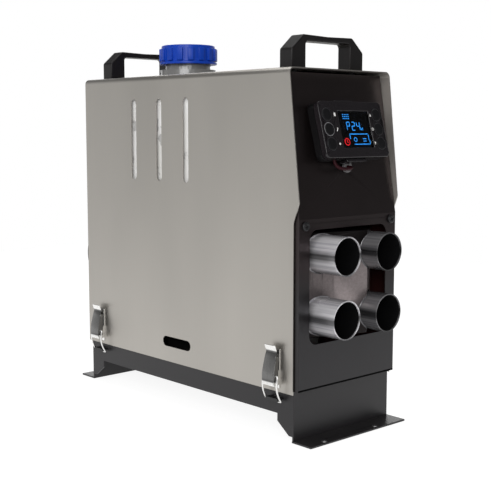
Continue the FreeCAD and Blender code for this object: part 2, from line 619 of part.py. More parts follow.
class Sketched:
    """A body made by padding, cutting, turning and rounding sketches."""

    def __init__(self, name, finished=True):
        self.body = doc.addObject("PartDesign::Body", name)
        if finished:
            node(name, self.body)

    def sketch(self, axis, level, outlines, shift=(0, 0)):
        """A sketch square to an axis; one square to y looks towards -y."""
        drawing = self.body.newObject("Sketcher::SketchObject", "outline")
        planes = self.body.Origin.OriginFeatures
        plane = next(feature for feature in planes if feature.Role == PLANE_ACROSS[axis])
        drawing.AttachmentSupport = [(plane, "")]
        drawing.MapMode = "FlatFace"
        away = -as_size(level) if axis == "y" else level
        for letter, amount in zip("xyz", (shift[0], shift[1], away)):
            bind(drawing, "AttachmentOffset.Base." + letter, amount)
        for outline in outlines:
            outline(drawing)
        doc.recompute()
        return drawing

    def pad(self, axis, low, high, *outlines, shift=(0, 0)):
        start = high if axis == "y" else low
        drawing = self.sketch(axis, start, outlines, shift)
        feature = self.body.newObject("PartDesign::Pad", "pad")
        feature.Profile = drawing
        bind(feature, "Length", high - low)
        doc.recompute()
        return feature

    def pocket(self, axis, low, high, *outlines, shift=(0, 0)):
        before = self.body.Shape.Volume
        start = low if axis == "y" else high
        drawing = self.sketch(axis, start, outlines, shift)
        feature = self.body.newObject("PartDesign::Pocket", "pocket")
        feature.Profile = drawing
        bind(feature, "Length", high - low)
        doc.recompute()
        if not self.body.Shape.Volume < before - SMALL:
            raise RuntimeError("a pocket cuts nothing from " + self.body.Label)
        return feature

    def turn(self, along, centre, points, angle=360):
        """Turns (place along the axis, radius) points round an axis along y or z."""
        if along == "y":
            shift, level, axis = (0, centre[1]), centre[0], "H_Axis"
            outline = polygon(*points)
        else:
            shift, level, axis = (centre[1], 0), centre[0], "V_Axis"
            outline = polygon(*[(radius, place) for place, radius in points])
        drawing = self.sketch("x", level, [outline], shift)
        feature = self.body.newObject("PartDesign::Revolution", "turn")
        feature.Profile = drawing
        feature.ReferenceAxis = (drawing, [axis])
        feature.Angle = angle
        feature.Midplane = angle < 360
        doc.recompute()
        return feature

    def ring(self, feature, count, axis=None):
        """Repeats a feature round an axis, or else round the middle of its own sketch."""
        pattern = self.body.newObject("PartDesign::PolarPattern", "ring")
        pattern.Originals = [feature]
        pattern.Axis = (axis, [""]) if axis else (feature.Profile[0], ["N_Axis"])
        pattern.Angle = 360
        bind(pattern, "Occurrences", count)
        self.body.Tip = pattern
        doc.recompute()
        return pattern

    def round(self, radius, wanted):
        """Rounds the edges that a test picks out."""
        tip = self.body.Tip
        picked = ["Edge{}".format(i) for i, edge in enumerate(tip.Shape.Edges, start=1) if wanted(edge)]
        if not picked:
            raise RuntimeError("no edge to round on " + self.body.Label)
        feature = self.body.newObject("PartDesign::Fillet", "round")
        feature.Base = (tip, picked)
        bind(feature, "Radius", radius)
        doc.recompute()
        return feature

    def lean(self, angle, y, z):
        """Sets the body on a tilted face: turned back about x, with its origin at y, z."""
        spot = FreeCAD.Vector(0, as_size(y).number, as_size(z).number)
        back = FreeCAD.Rotation(FreeCAD.Vector(1, 0, 0), -angle.number)
        self.body.Placement = FreeCAD.Placement(spot, back)
        bind(self.body, "Placement.Base.y", y)
        bind(self.body, "Placement.Base.z", z)


def edges_along(axis, *places):
    """Picks straight edges along an axis that stand at one of the given places."""
    keep = "xyz".replace(axis, "")
    spots = [[as_size(amount).number for amount in place] for place in places]

    def wanted(edge):
        ends = [vertex.Point for vertex in edge.Vertexes]
        if len(ends) != 2:
            return False
        rows = [[getattr(end, letter) for letter in keep] for end in ends]
        return any(all(math.dist(row, spot) < 0.01 for row in rows) for spot in spots)

    return wanted


def both(amount):
    return (-amount, amount)


def number_of(amount):
    return as_size(amount).number


def between(*ends):
    """Two places, the lower one first."""
    return sorted(ends, key=number_of)


SIDES = (-1, 1)

# Places that several pieces share

case_half = s.case_width / 2
cover_inside = case_half - s.cover_wall
roof_underside = s.case_height - s.cover_wall
tray_half = s.tray_width / 2
tray_end = s.tray_end
tray_floor = s.tray_floor
foot_end = s.foot_length / 2
bolt_row = foot_end - s.bolt_inset
panel_half = s.panel_width / 2
front_brow = -s.front_reach + (s.panel_top - s.front_bend) * tangent(s.front_tilt)
front_inside = -s.front_reach + s.panel_sheet
rear_inside = s.rear_reach - s.panel_sheet
panel_foot = s.panel_bottom + s.panel_sheet
shelf_top = s.front_bend
shelf_under = s.shelf_under
tank_floor = s.tank_floor
tank_outlet = (s.tank_outlet_side, s.tank_back - s.tank_outlet_back)
screw_hole = s.screw_radius + s.screw_slack
stub_spigot = s.stub_radius - s.spigot_step
pipe_spigot = s.pipe_radius - s.spigot_step
pipe_places = {"exhaust_pipe": s.exhaust_place, "air_pipe": s.air_place}
stub_places = {
    "upper_left": (-s.stub_column, s.axis_level + s.stub_row),
    "upper_right": (s.stub_column, s.axis_level + s.stub_row),
    "lower_left": (-s.stub_column, s.axis_level - s.stub_row),
    "lower_right": (s.stub_column, s.axis_level - s.stub_row),
}
heater_axis = (0, s.axis_level)
filler_axis = (0, s.filler_place)
handle_screw_place = (s.handle_width + s.handle_window) / 4


def screw(axis, centre, head, direction):
    """A pan-head screw whose head bears at a place on its axis and points its shank along it."""
    ends = between(head, head + s.screw_grip * direction)
    caps = between(head, head - s.screw_cap * direction)
    return fuse(rod(axis, centre, s.screw_radius, *ends), rod(axis, centre, s.screw_head, *caps))


# Case: base tray, cover, panels and handles


def base_tray():
    tray = Sketched("base_tray")
    tray.pad("z", s.skirt_bottom, tray_floor, rectangle(both(tray_half), both(tray_end)))
    gusset_edge = tray_end - s.gusset_width
    notch = tray_end - s.end_notch
    toe = tray_end - s.gusset_toe
    heel = s.gusset_low + s.gusset_slope
    side = polygon(
        (-tray_end, s.end_top), (-notch, s.end_top), (-notch, s.skirt_top), (notch, s.skirt_top),
        (notch, s.end_top), (tray_end, s.end_top), (tray_end, s.gusset_low), (toe, s.gusset_low),
        (gusset_edge, heel), (gusset_edge, s.skirt_bottom), (-gusset_edge, s.skirt_bottom),
        (-gusset_edge, heel), (-toe, s.gusset_low), (-tray_end, s.gusset_low),
    )
    inner = tray_half - s.tray_sheet
    tray.pad("x", inner, tray_half, side)
    tray.pad("x", -tray_half, -inner, side)
    for way in SIDES:
        wall = between(tray_end * way, (tray_end - s.tray_sheet) * way)
        lip = between(tray_end * way, (tray_end - s.lip_depth) * way)
        foot = between(foot_end * way, (tray_end - s.tray_sheet) * way)
        tray.pad("y", wall[0], wall[1], rectangle(both(tray_half), (0, s.end_top)))
        tray.pad("y", lip[0], lip[1], rectangle(both(tray_half), (s.end_top - s.tray_sheet, s.end_top)))
        tray.pad("z", 0, s.tray_sheet, rectangle(both(s.foot_width / 2), foot))
    holes = [
        circle((s.bolt_shift + s.bolt_spacing / 2 * across, bolt_row * along), s.bolt_hole / 2)
        for across in SIDES for along in SIDES
    ]
    tray.pocket("z", 0, s.tray_sheet, *holes)
    pipes = [circle((s.pipe_shift, y), s.pipe_radius + s.pipe_room) for y in pipe_places.values()]
    tray.pocket("z", s.skirt_bottom, tray_floor, *pipes)
    lip_row = tray_end - s.lip_depth / 2
    lip_holes = [circle((s.lip_screw_place * a, lip_row * b), screw_hole) for a in SIDES for b in SIDES]
    tray.pocket("z", s.end_top - s.tray_sheet, s.end_top, *lip_holes)


def cover_shell():
    cover = Sketched("cover_shell")
    section = polygon(
        (-case_half, s.cover_bottom), (-case_half, s.case_height), (case_half, s.case_height),
        (case_half, s.cover_bottom), (cover_inside, s.cover_bottom), (cover_inside, roof_underside),
        (-cover_inside, roof_underside), (-cover_inside, s.cover_bottom),
    )
    cover.pad("y", -s.nose_reach, s.cover_back, section)
    cover.round(s.cover_bend, edges_along("y", (-case_half, s.case_height), (case_half, s.case_height)))
    inner_corners = [(-cover_inside, roof_underside), (cover_inside, roof_underside)]
    cover.round(s.cover_bend - s.cover_wall, edges_along("y", *inner_corners))
    ahead = s.nose_reach + s.cover_bend
    cover.pocket("x", -case_half, case_half, polygon(
        (-ahead, s.case_height + s.cover_bend), (-s.brow_reach, s.case_height + s.cover_bend),
        (-s.brow_reach, s.case_height), (-s.nose_reach, s.nose_height), (-ahead, s.nose_height),
    ))
    cover.pocket("x", -case_half, case_half, polygon(
        (-ahead, s.nose_height), (-s.nose_reach, s.nose_height), (-s.cheek_reach, s.cheek_height),
        (-s.cheek_reach, s.cover_bottom - s.cover_bend), (-ahead, s.cover_bottom - s.cover_bend),
    ))
    nose = edges_along("x", (-s.nose_reach, s.nose_height), (-s.cheek_reach, s.cheek_height))
    cover.round(s.nose_round, nose)
    half = s.vent_width / 2
    vents = [
        slot((y, s.vent_low + half), (y, s.vent_high - half), half)
        for y in (s.vent_middle - s.vent_pitch, s.vent_middle, s.vent_middle + s.vent_pitch)
    ]
    drain_end = (s.drain_width - s.drain_height) / 2
    drain = [(s.drain_place + drain_end * side, s.drain_level) for side in SIDES]
    vents.append(slot(*drain, s.drain_height / 2))
    cover.pocket("x", -case_half, case_half, *vents)
    filler = circle((0, s.filler_place), s.shoulder_radius + s.shoulder_gap)
    grips = [
        circle((handle_screw_place * side, y), screw_hole)
        for side in SIDES for y in (-s.front_grip, s.rear_grip)
    ]
    cover.pocket("z", roof_underside, s.case_height, filler, *grips)


def front_panel():
    panel = Sketched("front_panel")
    depth = s.tray_sheet + s.lip_depth + s.front_reach - tray_end
    panel.pad("x", -panel_half, panel_half, polygon(
        (-s.front_reach, s.panel_bottom), (-s.front_reach, s.front_bend), (front_brow, s.panel_top),
        (front_brow + s.panel_flange, s.panel_top),
        (front_brow + s.panel_flange, s.panel_top - s.panel_sheet),
        (front_brow + s.panel_sheet, s.panel_top - s.panel_sheet), (front_inside, s.front_bend),
        (front_inside, panel_foot), (-s.front_reach + depth, panel_foot),
        (-s.front_reach + depth, s.panel_bottom),
    ))
    flange = polygon(
        (-s.front_reach, s.panel_bottom), (-s.front_reach, s.front_bend), (front_brow, s.panel_top),
        (front_brow + s.panel_flange, s.panel_top), (-s.front_reach + s.panel_flange, s.front_bend),
        (-s.front_reach + s.panel_flange, s.panel_bottom),
    )
    panel.pad("x", panel_half - s.panel_sheet, panel_half, flange)
    panel.pad("x", -panel_half, -panel_half + s.panel_sheet, flange)
    half = s.window_size / 2
    opening = rectangle(both(half), (s.axis_level - half, s.axis_level + half))
    panel.pocket("y", -s.front_reach, front_inside, opening)
    corners = [(half * a, s.axis_level + half * b) for a in SIDES for b in SIDES]
    panel.round(s.window_round, edges_along("y", *corners))
    screws = [circle((s.panel_screw_place * side, s.panel_screw_level), screw_hole) for side in SIDES]
    panel.pocket("y", -s.front_reach, front_inside, *screws)
    grommet = circle((s.lead_hole, s.lead_level), s.grommet_radius - s.lead_radius / 2)
    panel.pocket("y", -s.front_reach, front_brow, grommet)
    lip_row = -tray_end + s.lip_depth / 2
    lip_holes = [circle((s.lip_screw_place * side, lip_row), screw_hole) for side in SIDES]
    panel.pocket("z", s.panel_bottom, panel_foot, *lip_holes)


def rear_panel():
    panel = Sketched("rear_panel")
    depth = s.rear_reach - tray_end + s.tray_sheet + s.lip_depth
    panel.pad("y", rear_inside, s.rear_reach, rectangle(both(panel_half), (s.panel_bottom, s.panel_top)))
    flange_front = s.rear_reach - s.panel_flange
    lip = rectangle(both(panel_half), (s.rear_reach - depth, s.rear_reach))
    panel.pad("z", s.panel_bottom, panel_foot, lip)
    top = rectangle(both(panel_half), (flange_front, s.rear_reach))
    panel.pad("z", s.panel_top - s.panel_sheet, s.panel_top, top)
    side = rectangle((flange_front, s.rear_reach), (s.panel_bottom, s.panel_top))
    panel.pad("x", panel_half - s.panel_sheet, panel_half, side)
    panel.pad("x", -panel_half, -panel_half + s.panel_sheet, side)
    screws = [circle((s.panel_screw_place * side, s.panel_screw_level), screw_hole) for side in SIDES]
    intake = circle(heater_axis, s.guard_radius + s.guard_gap)
    gland = circle((s.gland_place, s.gland_level), s.gland_radius + s.screw_slack)
    panel.pocket("y", rear_inside, s.rear_reach, intake, gland, *screws)
    lip_row = tray_end - s.lip_depth / 2
    lip_holes = [circle((s.lip_screw_place * side, lip_row), screw_hole) for side in SIDES]
    panel.pocket("z", s.panel_bottom, panel_foot, *lip_holes)


def handle(name, y):
    grip = Sketched(name)
    half = s.handle_width / 2
    gap = s.handle_window / 2
    top = s.case_height + s.handle_height
    under = top - s.handle_bar
    crest = half - s.handle_shoulder
    shoulder = top - s.handle_slope
    low, high = y - s.handle_depth / 2, y + s.handle_depth / 2
    grip.pad("y", low, high, polygon(
        (-half, s.case_height), (-half, shoulder), (-crest, top), (0, top - s.handle_dip), (crest, top),
        (half, shoulder), (half, s.case_height), (gap, s.case_height), (gap, under), (-gap, under),
        (-gap, s.case_height),
    ))
    grip.round(s.handle_round, edges_along("y", (gap, under), (-gap, under)))
    shoulders = [(half, shoulder), (-half, shoulder), (crest, top), (-crest, top)]
    grip.round(s.handle_round, edges_along("y", *shoulders))

    def rims(edge):
        on_face = all(min(abs(v.Y - low.number), abs(v.Y - high.number)) < 0.01 for v in edge.Vertexes)
        return on_face and edge.BoundBox.YLength < 0.01 and edge.BoundBox.ZMax > s.case_height.number + 1

    grip.round(s.handle_ease, rims)
    depth = s.screw_grip
    holes = [circle((handle_screw_place * side, y), screw_hole) for side in SIDES]
    grip.pocket("z", s.case_height, s.case_height + depth, *holes)


def case_screws():
    screws = []
    lip_row = tray_end - s.lip_depth / 2
    for side in SIDES:
        for y in (-s.front_grip, s.rear_grip):
            screws.append(screw("z", (handle_screw_place * side, y), roof_underside, 1))
        across = s.panel_screw_place * side
        screws.append(screw("y", (across, s.panel_screw_level), -s.front_reach, 1))
        screws.append(screw("y", (across, s.panel_screw_level), s.rear_reach, -1))
        for end in SIDES:
            screws.append(screw("z", (s.lip_screw_place * side, lip_row * end), panel_foot, -1))
    group("case_screws", screws)


# Latches: a plate and a lever on the cover, and a bail that pulls on a hook on the tray


def outward(side, amount):
    """Place along x at a distance out from the cover's side."""
    return (case_half + amount) * side


def latch_profile(side, *points):
    return polygon(*[(outward(side, out), z) for out, z in points])


latch_spots = {
    "front_left": (-1, -1), "front_right": (1, -1), "rear_left": (-1, 1), "rear_right": (1, 1),
}
bail_pivot_out = s.pivot_out + s.throw * sine(s.throw_lean)
bail_pivot_level = s.pivot_level + s.throw * cosine(s.throw_lean)
cheek_outer = s.lever_width / 2
cheek_inner = cheek_outer - s.lever_sheet
ear_outer = cheek_inner - s.ear_gap
ear_inner = ear_outer - s.lever_sheet


def latch_lever(name, side, end):
    y = s.latch_place * end
    lever = Sketched(name)
    tab_out = s.lever_neck + s.lever_flare
    lever.pad("y", y - cheek_outer, y + cheek_outer, latch_profile(
        side, (s.lever_foot, s.latch_bottom), (s.lever_foot, s.lever_waist),
        (s.lever_neck, s.lever_neck_level),
        (tab_out, s.latch_top), (tab_out - s.lever_sheet, s.latch_top),
        (s.lever_neck - s.lever_sheet, s.lever_neck_level), (s.lever_foot - s.lever_sheet, s.lever_waist),
        (s.lever_foot - s.lever_sheet, s.latch_bottom),
    ))
    round_out = s.pivot_radius * 2
    cheek = latch_profile(
        side, (s.lever_foot, s.latch_bottom), (s.lever_foot, s.lever_waist),
        ((s.lever_foot + s.lever_neck) / 2, (s.lever_waist + s.lever_neck_level) / 2),
        (bail_pivot_out - round_out, bail_pivot_level + round_out),
        (s.pivot_out - round_out, s.pivot_level), (s.pivot_out - round_out, s.latch_bottom),
    )
    lever.pad("y", y + cheek_inner, y + cheek_outer, cheek)
    lever.pad("y", y - cheek_outer, y - cheek_inner, cheek)
    bores = [
        circle((outward(side, s.pivot_out), s.pivot_level), s.pivot_radius + s.pivot_slack),
        circle((outward(side, bail_pivot_out), bail_pivot_level), s.bail_radius + s.pivot_slack),
    ]
    lever.pocket("y", y - cheek_outer, y + cheek_outer, *bores)


def latch_bail(name, side, end):
    y = s.latch_place * end
    pivot = outward(side, bail_pivot_out)
    bar = outward(side, s.bail_out)
    inset = cheek_inner - s.ear_gap / 2
    points = [
        (pivot, y - inset, bail_pivot_level), (pivot, y - s.bail_half, bail_pivot_level),
        (bar, y - s.bail_half, s.bail_level), (bar, y + s.bail_half, s.bail_level),
        (pivot, y + s.bail_half, bail_pivot_level), (pivot, y + inset, bail_pivot_level),
    ]
    node(name, bent_wire(name, points, s.bail_radius, s.bail_bend))


def latch_plate(name, side, end):
    y = s.latch_place * end
    plate = Sketched(name, finished=False)
    back = latch_profile(
        side, (0, s.plate_low), (s.lever_sheet, s.plate_low), (s.lever_sheet, s.plate_high),
        (0, s.plate_high),
    )
    plate.pad("y", y - ear_outer, y + ear_outer, back)
    reach = s.pivot_out + s.pivot_radius * 2
    ear = latch_profile(
        side, (0, s.pivot_level - s.pivot_radius * 2), (reach, s.pivot_level - s.pivot_radius * 2),
        (reach, s.pivot_level + s.pivot_radius * 2), (0, bail_pivot_level + s.throw),
    )
    plate.pad("y", y + ear_inner, y + ear_outer, ear)
    plate.pad("y", y - ear_outer, y - ear_inner, ear)
    bore = circle((outward(side, s.pivot_out), s.pivot_level), s.pivot_radius + s.pivot_slack)
    plate.pocket("y", y - ear_outer, y + ear_outer, bore)
    return plate.body


def latch_pin(side, end):
    y = s.latch_place * end
    reach = cheek_outer + s.ear_gap
    centre = (outward(side, s.pivot_out), s.pivot_level)
    return rod("y", centre, s.pivot_radius, y - reach, y + reach)


def catch_hook(name, side, end):
    y = s.latch_place * end
    skirt = tray_half - case_half
    ceiling = s.bail_level + s.bail_radius + s.seat_gap
    lip = s.bail_out + s.bail_radius + s.hook_gap
    hook = Sketched(name, finished=False)
    hook.pad("y", y - s.hook_width / 2, y + s.hook_width / 2, latch_profile(
        side, (skirt, ceiling + s.hook_sheet), (lip + s.hook_sheet / 2, ceiling + s.hook_sheet),
        (lip + s.hook_sheet / 2, s.bail_level), (lip, s.bail_level), (lip, ceiling), (skirt, ceiling),
    ))
    return hook.body


def latches():
    for spot, (side, end) in latch_spots.items():
        latch_lever("latch_lever_" + spot, side, end)
        latch_bail("latch_bail_" + spot, side, end)
    group("latch_plates", [latch_plate("latch_plate_" + spot, *way) for spot, way in latch_spots.items()])
    group("latch_pins", [latch_pin(*way) for way in latch_spots.values()])
    group("catch_hooks", [catch_hook("catch_hook_" + spot, *way) for spot, way in latch_spots.items()])


# Fuel: shelf, tank, cap, pump and hoses


def tank_shelf():
    shelf = Sketched("tank_shelf")
    half = s.shelf_width / 2
    front = front_inside + s.shelf_sheet
    shelf.pad("z", shelf_under, shelf_top, rectangle(both(half), (front, s.shelf_back)))
    for side in SIDES:
        leg = between(half * side, (half - s.shelf_sheet) * side)
        toe = between(half * side, (half - s.shelf_foot) * side)
        for y in (s.shelf_front_leg, s.shelf_rear_leg):
            span = (y - s.shelf_leg / 2, y + s.shelf_leg / 2)
            shelf.pad("x", leg[0], leg[1], rectangle(span, (tray_floor, shelf_top)))
            shelf.pad("x", toe[0], toe[1], rectangle(span, (tray_floor, tray_floor + s.shelf_sheet)))
        tab = [s.panel_screw_place * side - s.shelf_tab / 2, s.panel_screw_place * side + s.shelf_tab / 2]
        tab = [max(-half, end, key=number_of) if side < 0 else min(half, end, key=number_of) for end in tab]
        drop = rectangle(tab, (shelf_top - s.shelf_drop, shelf_top))
        shelf.pad("y", front_inside, front, drop)
        shelf.pad("y", rear_inside - s.shelf_sheet, rear_inside, drop)
        bridge = rectangle(tab, (s.shelf_back, rear_inside))
        shelf.pad("z", shelf_under, shelf_top, bridge)
    holes = [circle((s.panel_screw_place * side, s.panel_screw_level), screw_hole) for side in SIDES]
    shelf.pocket("y", front_inside, front, *holes)
    shelf.pocket("y", rear_inside - s.shelf_sheet, rear_inside, *holes)
    outlet = circle(tank_outlet, s.hose_radius * 2)
    shelf.pocket("z", shelf_under, shelf_top, outlet)


def fuel_tank():
    outer = Sketched("tank_outer", finished=False)
    half = s.tank_width / 2
    outer.pad("z", tank_floor, s.tank_top, rectangle(both(half), (s.tank_front, s.tank_back)))
    corners = [(half * side, y) for side in SIDES for y in (s.tank_front, s.tank_back)]
    outer.round(s.tank_round, edges_along("z", *corners))

    def rims(edge):
        return edge.BoundBox.ZLength < 0.01

    outer.round(s.tank_round / 2, rims)
    outer.pad("z", s.tank_top - s.tank_wall, s.shoulder_top, circle(filler_axis, s.shoulder_radius))
    outer.pad("z", s.tank_top - s.tank_wall, s.neck_top, circle(filler_axis, s.neck_radius))
    inner = Sketched("tank_inside", finished=False)
    inside = half - s.tank_wall
    ends = (s.tank_front + s.tank_wall, s.tank_back - s.tank_wall)
    inner.pad("z", tank_floor + s.tank_wall, s.tank_top - s.tank_wall, rectangle(both(inside), ends))
    corners = [(inside * side, y) for side in SIDES for y in ends]
    inner.round(s.tank_round - s.tank_wall, edges_along("z", *corners))
    bore = circle(filler_axis, s.neck_radius - s.neck_wall)
    inner.pad("z", s.tank_top - s.tank_wall * 2, s.neck_top + 1, bore)
    node("fuel_tank", cut(outer.body, inner.body))


def fuel_cap():
    cap = Sketched("fuel_cap")
    inside = s.neck_radius + s.cap_slack
    roof = s.cap_top - s.cap_roof
    ease = s.cap_radius - s.cap_crown
    cap.turn("z", filler_axis, [
        (s.cap_bottom, inside), (s.cap_bottom, s.cap_rim_radius),
        (s.cap_bottom + s.cap_rim, s.cap_rim_radius),
        (s.cap_bottom + s.cap_rim, s.cap_radius), (s.cap_top - ease, s.cap_radius),
        (s.cap_top, s.cap_crown),
        (s.cap_top, 0), (roof, 0), (roof, inside),
    ])
    rib_outline = circle((s.rib_reach, 0), s.rib_radius)
    rib = cap.pad("z", s.cap_bottom, s.cap_top - s.rib_drop, rib_outline, shift=filler_axis)
    cap.ring(rib, s.rib_count)
    seal = Sketched("cap_seal")
    low = s.neck_top + s.seat_gap
    seal.turn("z", filler_axis, [
        (low, s.neck_radius - s.neck_wall), (low, s.neck_radius), (low + s.seal_thickness, s.neck_radius),
        (low + s.seal_thickness, s.neck_radius - s.neck_wall),
    ])


def fuel_pump():
    centre = (s.pump_place, s.pump_level)
    barrel = rod("y", centre, s.pump_radius, s.pump_front, s.pump_back)
    inlet = rod("y", centre, s.hose_radius, s.pump_back, s.pump_back + s.pump_nipple)
    outlet = rod("y", centre, s.hose_radius, s.pump_front - s.pump_nipple, s.pump_front)
    node("fuel_pump", fuse(barrel, inlet, outlet))
    middle = (s.pump_front + s.pump_back) / 2
    span = (middle - s.mount_length / 2, middle + s.mount_length / 2)
    sleeve = rod("y", centre, s.pump_radius + s.mount_wall, *span)
    across = (s.pump_place - s.mount_width / 2, s.pump_place + s.mount_width / 2)
    foot = block(across, span, (tray_floor, s.pump_level))
    bore = rod("y", centre, s.pump_radius + s.pipe_slack, span[0] - 1, span[1] + 1)
    node("pump_mount", cut(fuse(sleeve, foot), bore))


def fuel_lines():
    x, y = tank_outlet
    beside = s.shell_radius + s.hose_side
    inlet = s.pump_back + s.pump_nipple
    level = s.pump_level
    suction = [
        (x, y, tank_floor), (x, y, tank_floor - 21), (beside, y, tank_floor - 54),
        (beside, y - 1, s.axis_level - 37), (beside - 4, y - 4, level + 27),
        (s.pump_place + 3, inlet + 27, level + 7), (s.pump_place, inlet + 12, level),
        (s.pump_place, inlet, level),
    ]
    outlet = s.pump_front - s.pump_nipple
    front = s.foot_block_front
    feed = s.stool_top + s.hose_radius * 3
    delivery = [
        (s.pump_place, outlet, level), (s.pump_place, outlet - 15, level),
        (s.pump_place - 8, outlet - 28, level + 8), (s.pump_place - 24, outlet - 30, level + 20),
        (s.pipe_shift + 9, front - 44, feed - 6.5), (s.pipe_shift + 1, front - 28, feed - 1),
        (s.pipe_shift, front - 14, feed), (s.pipe_shift, front, feed),
    ]
    lines = [bent_wire("suction_line", suction, s.hose_radius)]
    lines.append(bent_wire("delivery_line", delivery, s.hose_radius))
    group("fuel_lines", lines)


# Control unit on the front panel, modelled upright about the centre of its face and then leaned back


def on_face(piece):
    piece.lean(s.face_tilt, -s.face_place, s.face_level)


face_half = s.face_width / 2
face_rise = s.face_height / 2
screen_side = (s.screen_shift - s.screen_width / 2, s.screen_shift + s.screen_width / 2)
screen_rise = both(s.screen_height / 2)
button_spots = {
    side + "_" + row: (s.button_column * across, s.button_pitch * up)
    for side, across in (("left", -1), ("right", 1))
    for row, up in (("upper", 1), ("middle", 0), ("lower", -1))
}


def control_shells():
    corners = [(face_half * a, face_rise * b) for a in SIDES for b in SIDES]
    outline = rectangle(both(face_half), both(face_rise))
    hollow = rectangle(both(face_half - s.face_wall), both(face_rise - s.face_wall))
    front = Sketched("controller_front")
    front.pad("y", 0, s.face_split, outline)
    front.round(s.face_round, edges_along("y", *corners))
    front.pocket("y", s.face_wall, s.face_split, hollow)
    openings = [circle(spot, s.button_radius + s.seat_gap) for spot in button_spots.values()]
    openings.append(rectangle(screen_side, screen_rise))
    front.pocket("y", 0, s.face_wall, *openings)
    on_face(front)
    back = Sketched("controller_back")
    back.pad("y", s.face_split, s.face_depth, outline)
    back.round(s.face_round, edges_along("y", *corners))
    back.pocket("y", s.face_split, s.face_depth - s.face_wall, hollow)
    posts = [
        circle(((face_half - s.face_round) * a, (face_rise - s.face_round) * b), s.face_wall)
        for a in SIDES for b in SIDES
    ]
    back.pad("y", s.board_place + s.board_thickness, s.face_depth, *posts)
    lead_depth = s.face_depth - s.face_wall - s.lead_radius
    lead = circle((s.lead_place, lead_depth), s.lead_radius + s.screw_slack)
    back.pocket("z", -face_rise, -face_rise + s.face_wall, lead)
    on_face(back)


def control_inside():
    lens = Sketched("display_lens")
    gap = s.seat_gap / 2
    lens.pad("y", s.lens_inset, s.lens_inset + s.lens_thickness, rectangle(
        (screen_side[0] + gap, screen_side[1] - gap), (screen_rise[0] + gap, screen_rise[1] - gap),
    ))
    on_face(lens)
    display = Sketched("lcd_display")
    grow = s.display_margin
    display.pad("y", s.face_wall, s.face_wall + s.display_depth, rectangle(
        (screen_side[0] - grow, screen_side[1] + grow), (screen_rise[0] - grow, screen_rise[1] + grow),
    ))
    pins = [
        circle((s.screen_shift + s.screen_width / 4 * across, screen_rise[0]), s.hose_radius / 2)
        for across in SIDES
    ]
    display.pad("y", s.face_wall, s.board_place, *pins)
    on_face(display)
    board = Sketched("controller_board")
    edge = s.face_wall + s.seat_gap
    board.pad("y", s.board_place, s.board_place + s.board_thickness, rectangle(
        both(face_half - edge), both(face_rise - edge),
    ))
    on_face(board)


def buttons():
    for name, spot in button_spots.items():
        button = Sketched("button_" + name)
        under = s.face_wall + s.seat_gap
        button.pad("y", -s.button_rise, under, circle(spot, s.button_radius))
        button.round(s.button_ease, lambda edge: edge.BoundBox.YMax < -s.button_rise.number + 0.01)
        button.pad("y", under, under + s.button_flange, circle(spot, s.button_radius + s.button_flange))
        tip = s.board_place - s.button_travel - s.seat_gap
        button.pad("y", under, tip, circle(spot, s.button_stem))
        on_face(button)


def panel_distance(rise):
    """Depth of the front panel behind the control unit's face, at a height on the face."""
    lean, back = s.face_tilt, s.front_tilt
    level = -s.front_reach + (s.face_level - s.front_bend) * tangent(back) + s.face_place
    fall = cosine(lean) * tangent(back) - sine(lean)
    return (level + rise * fall) / (cosine(lean) + sine(lean) * tangent(back))


def controller_bracket():
    bracket = Sketched("controller_bracket")
    top = face_rise - s.clip_thickness
    bracket.pad("x", -s.bracket_width / 2, s.bracket_width / 2, polygon(
        (s.face_depth, top), (panel_distance(top), top), (panel_distance(-top), -top),
        (s.face_depth, -top),
    ))
    clip = face_rise + s.seat_gap
    for side, middle in ((1, as_size(0)), (-1, s.clip_shift)):
        across = (middle - s.clip_width / 2, middle + s.clip_width / 2)
        rise = between(clip * side, (clip + s.clip_thickness) * side)
        reach = (s.face_depth - s.clip_reach, s.face_depth + s.clip_thickness / 2)
        bracket.pad("x", *across, rectangle(reach, rise))
        root = between(top * side, (clip + s.clip_thickness) * side)
        depth = (s.face_depth, s.face_depth + s.clip_thickness / 2)
        bracket.pad("x", *across, rectangle(depth, root))
    on_face(bracket)


def controller_lead():
    depth = s.face_depth - s.face_wall - s.lead_radius
    lean = s.face_tilt
    start = -face_rise + s.face_wall
    exit_y = -s.face_place + depth * cosine(lean) + start * sine(lean)
    exit_z = s.face_level - depth * sine(lean) + start * cosine(lean)
    panel_face = -s.front_reach + (s.lead_level - s.front_bend) * tangent(s.front_tilt)
    x, hole, level = s.lead_place, s.lead_hole, s.lead_level
    box_top = shelf_top + s.unit_height
    points = [
        (x, exit_y, exit_z), (x, exit_y - sine(lean) * 6, exit_z - cosine(lean) * 6),
        (x + 6, exit_y - 2.7, exit_z - 10), (hole - 11, panel_face - 13.7, level - 1.8),
        (hole - 3, panel_face - 12, level - 0.8), (hole, panel_face - 6.3, level),
        (hole, panel_face + 7, level),
        (hole + 0.3, panel_face + 13.7, level - 2), (hole + 0.8, panel_face + 23, level - 9),
        (hole + 1, panel_face + 29.5, box_top + 9), (hole + 1, panel_face + 29.5, box_top),
    ]
    node("controller_lead", bent_wire("controller_lead", points, s.lead_radius))
    grommet = Sketched("lead_grommet")
    inner = s.lead_radius + s.screw_slack
    outer = s.grommet_radius
    brim = s.panel_sheet * 2
    back = panel_face + s.panel_sheet
    groove = outer - s.lead_radius / 2 - s.seat_gap
    slack = s.panel_sheet
    grommet.turn("y", (hole, level), [
        (panel_face - slack - brim, inner), (panel_face - slack - brim, outer),
        (panel_face - slack, outer),
        (panel_face - slack, groove), (back + slack, groove), (back + slack, outer),
        (back + slack + brim, outer),
        (back + slack + brim, inner),
    ])


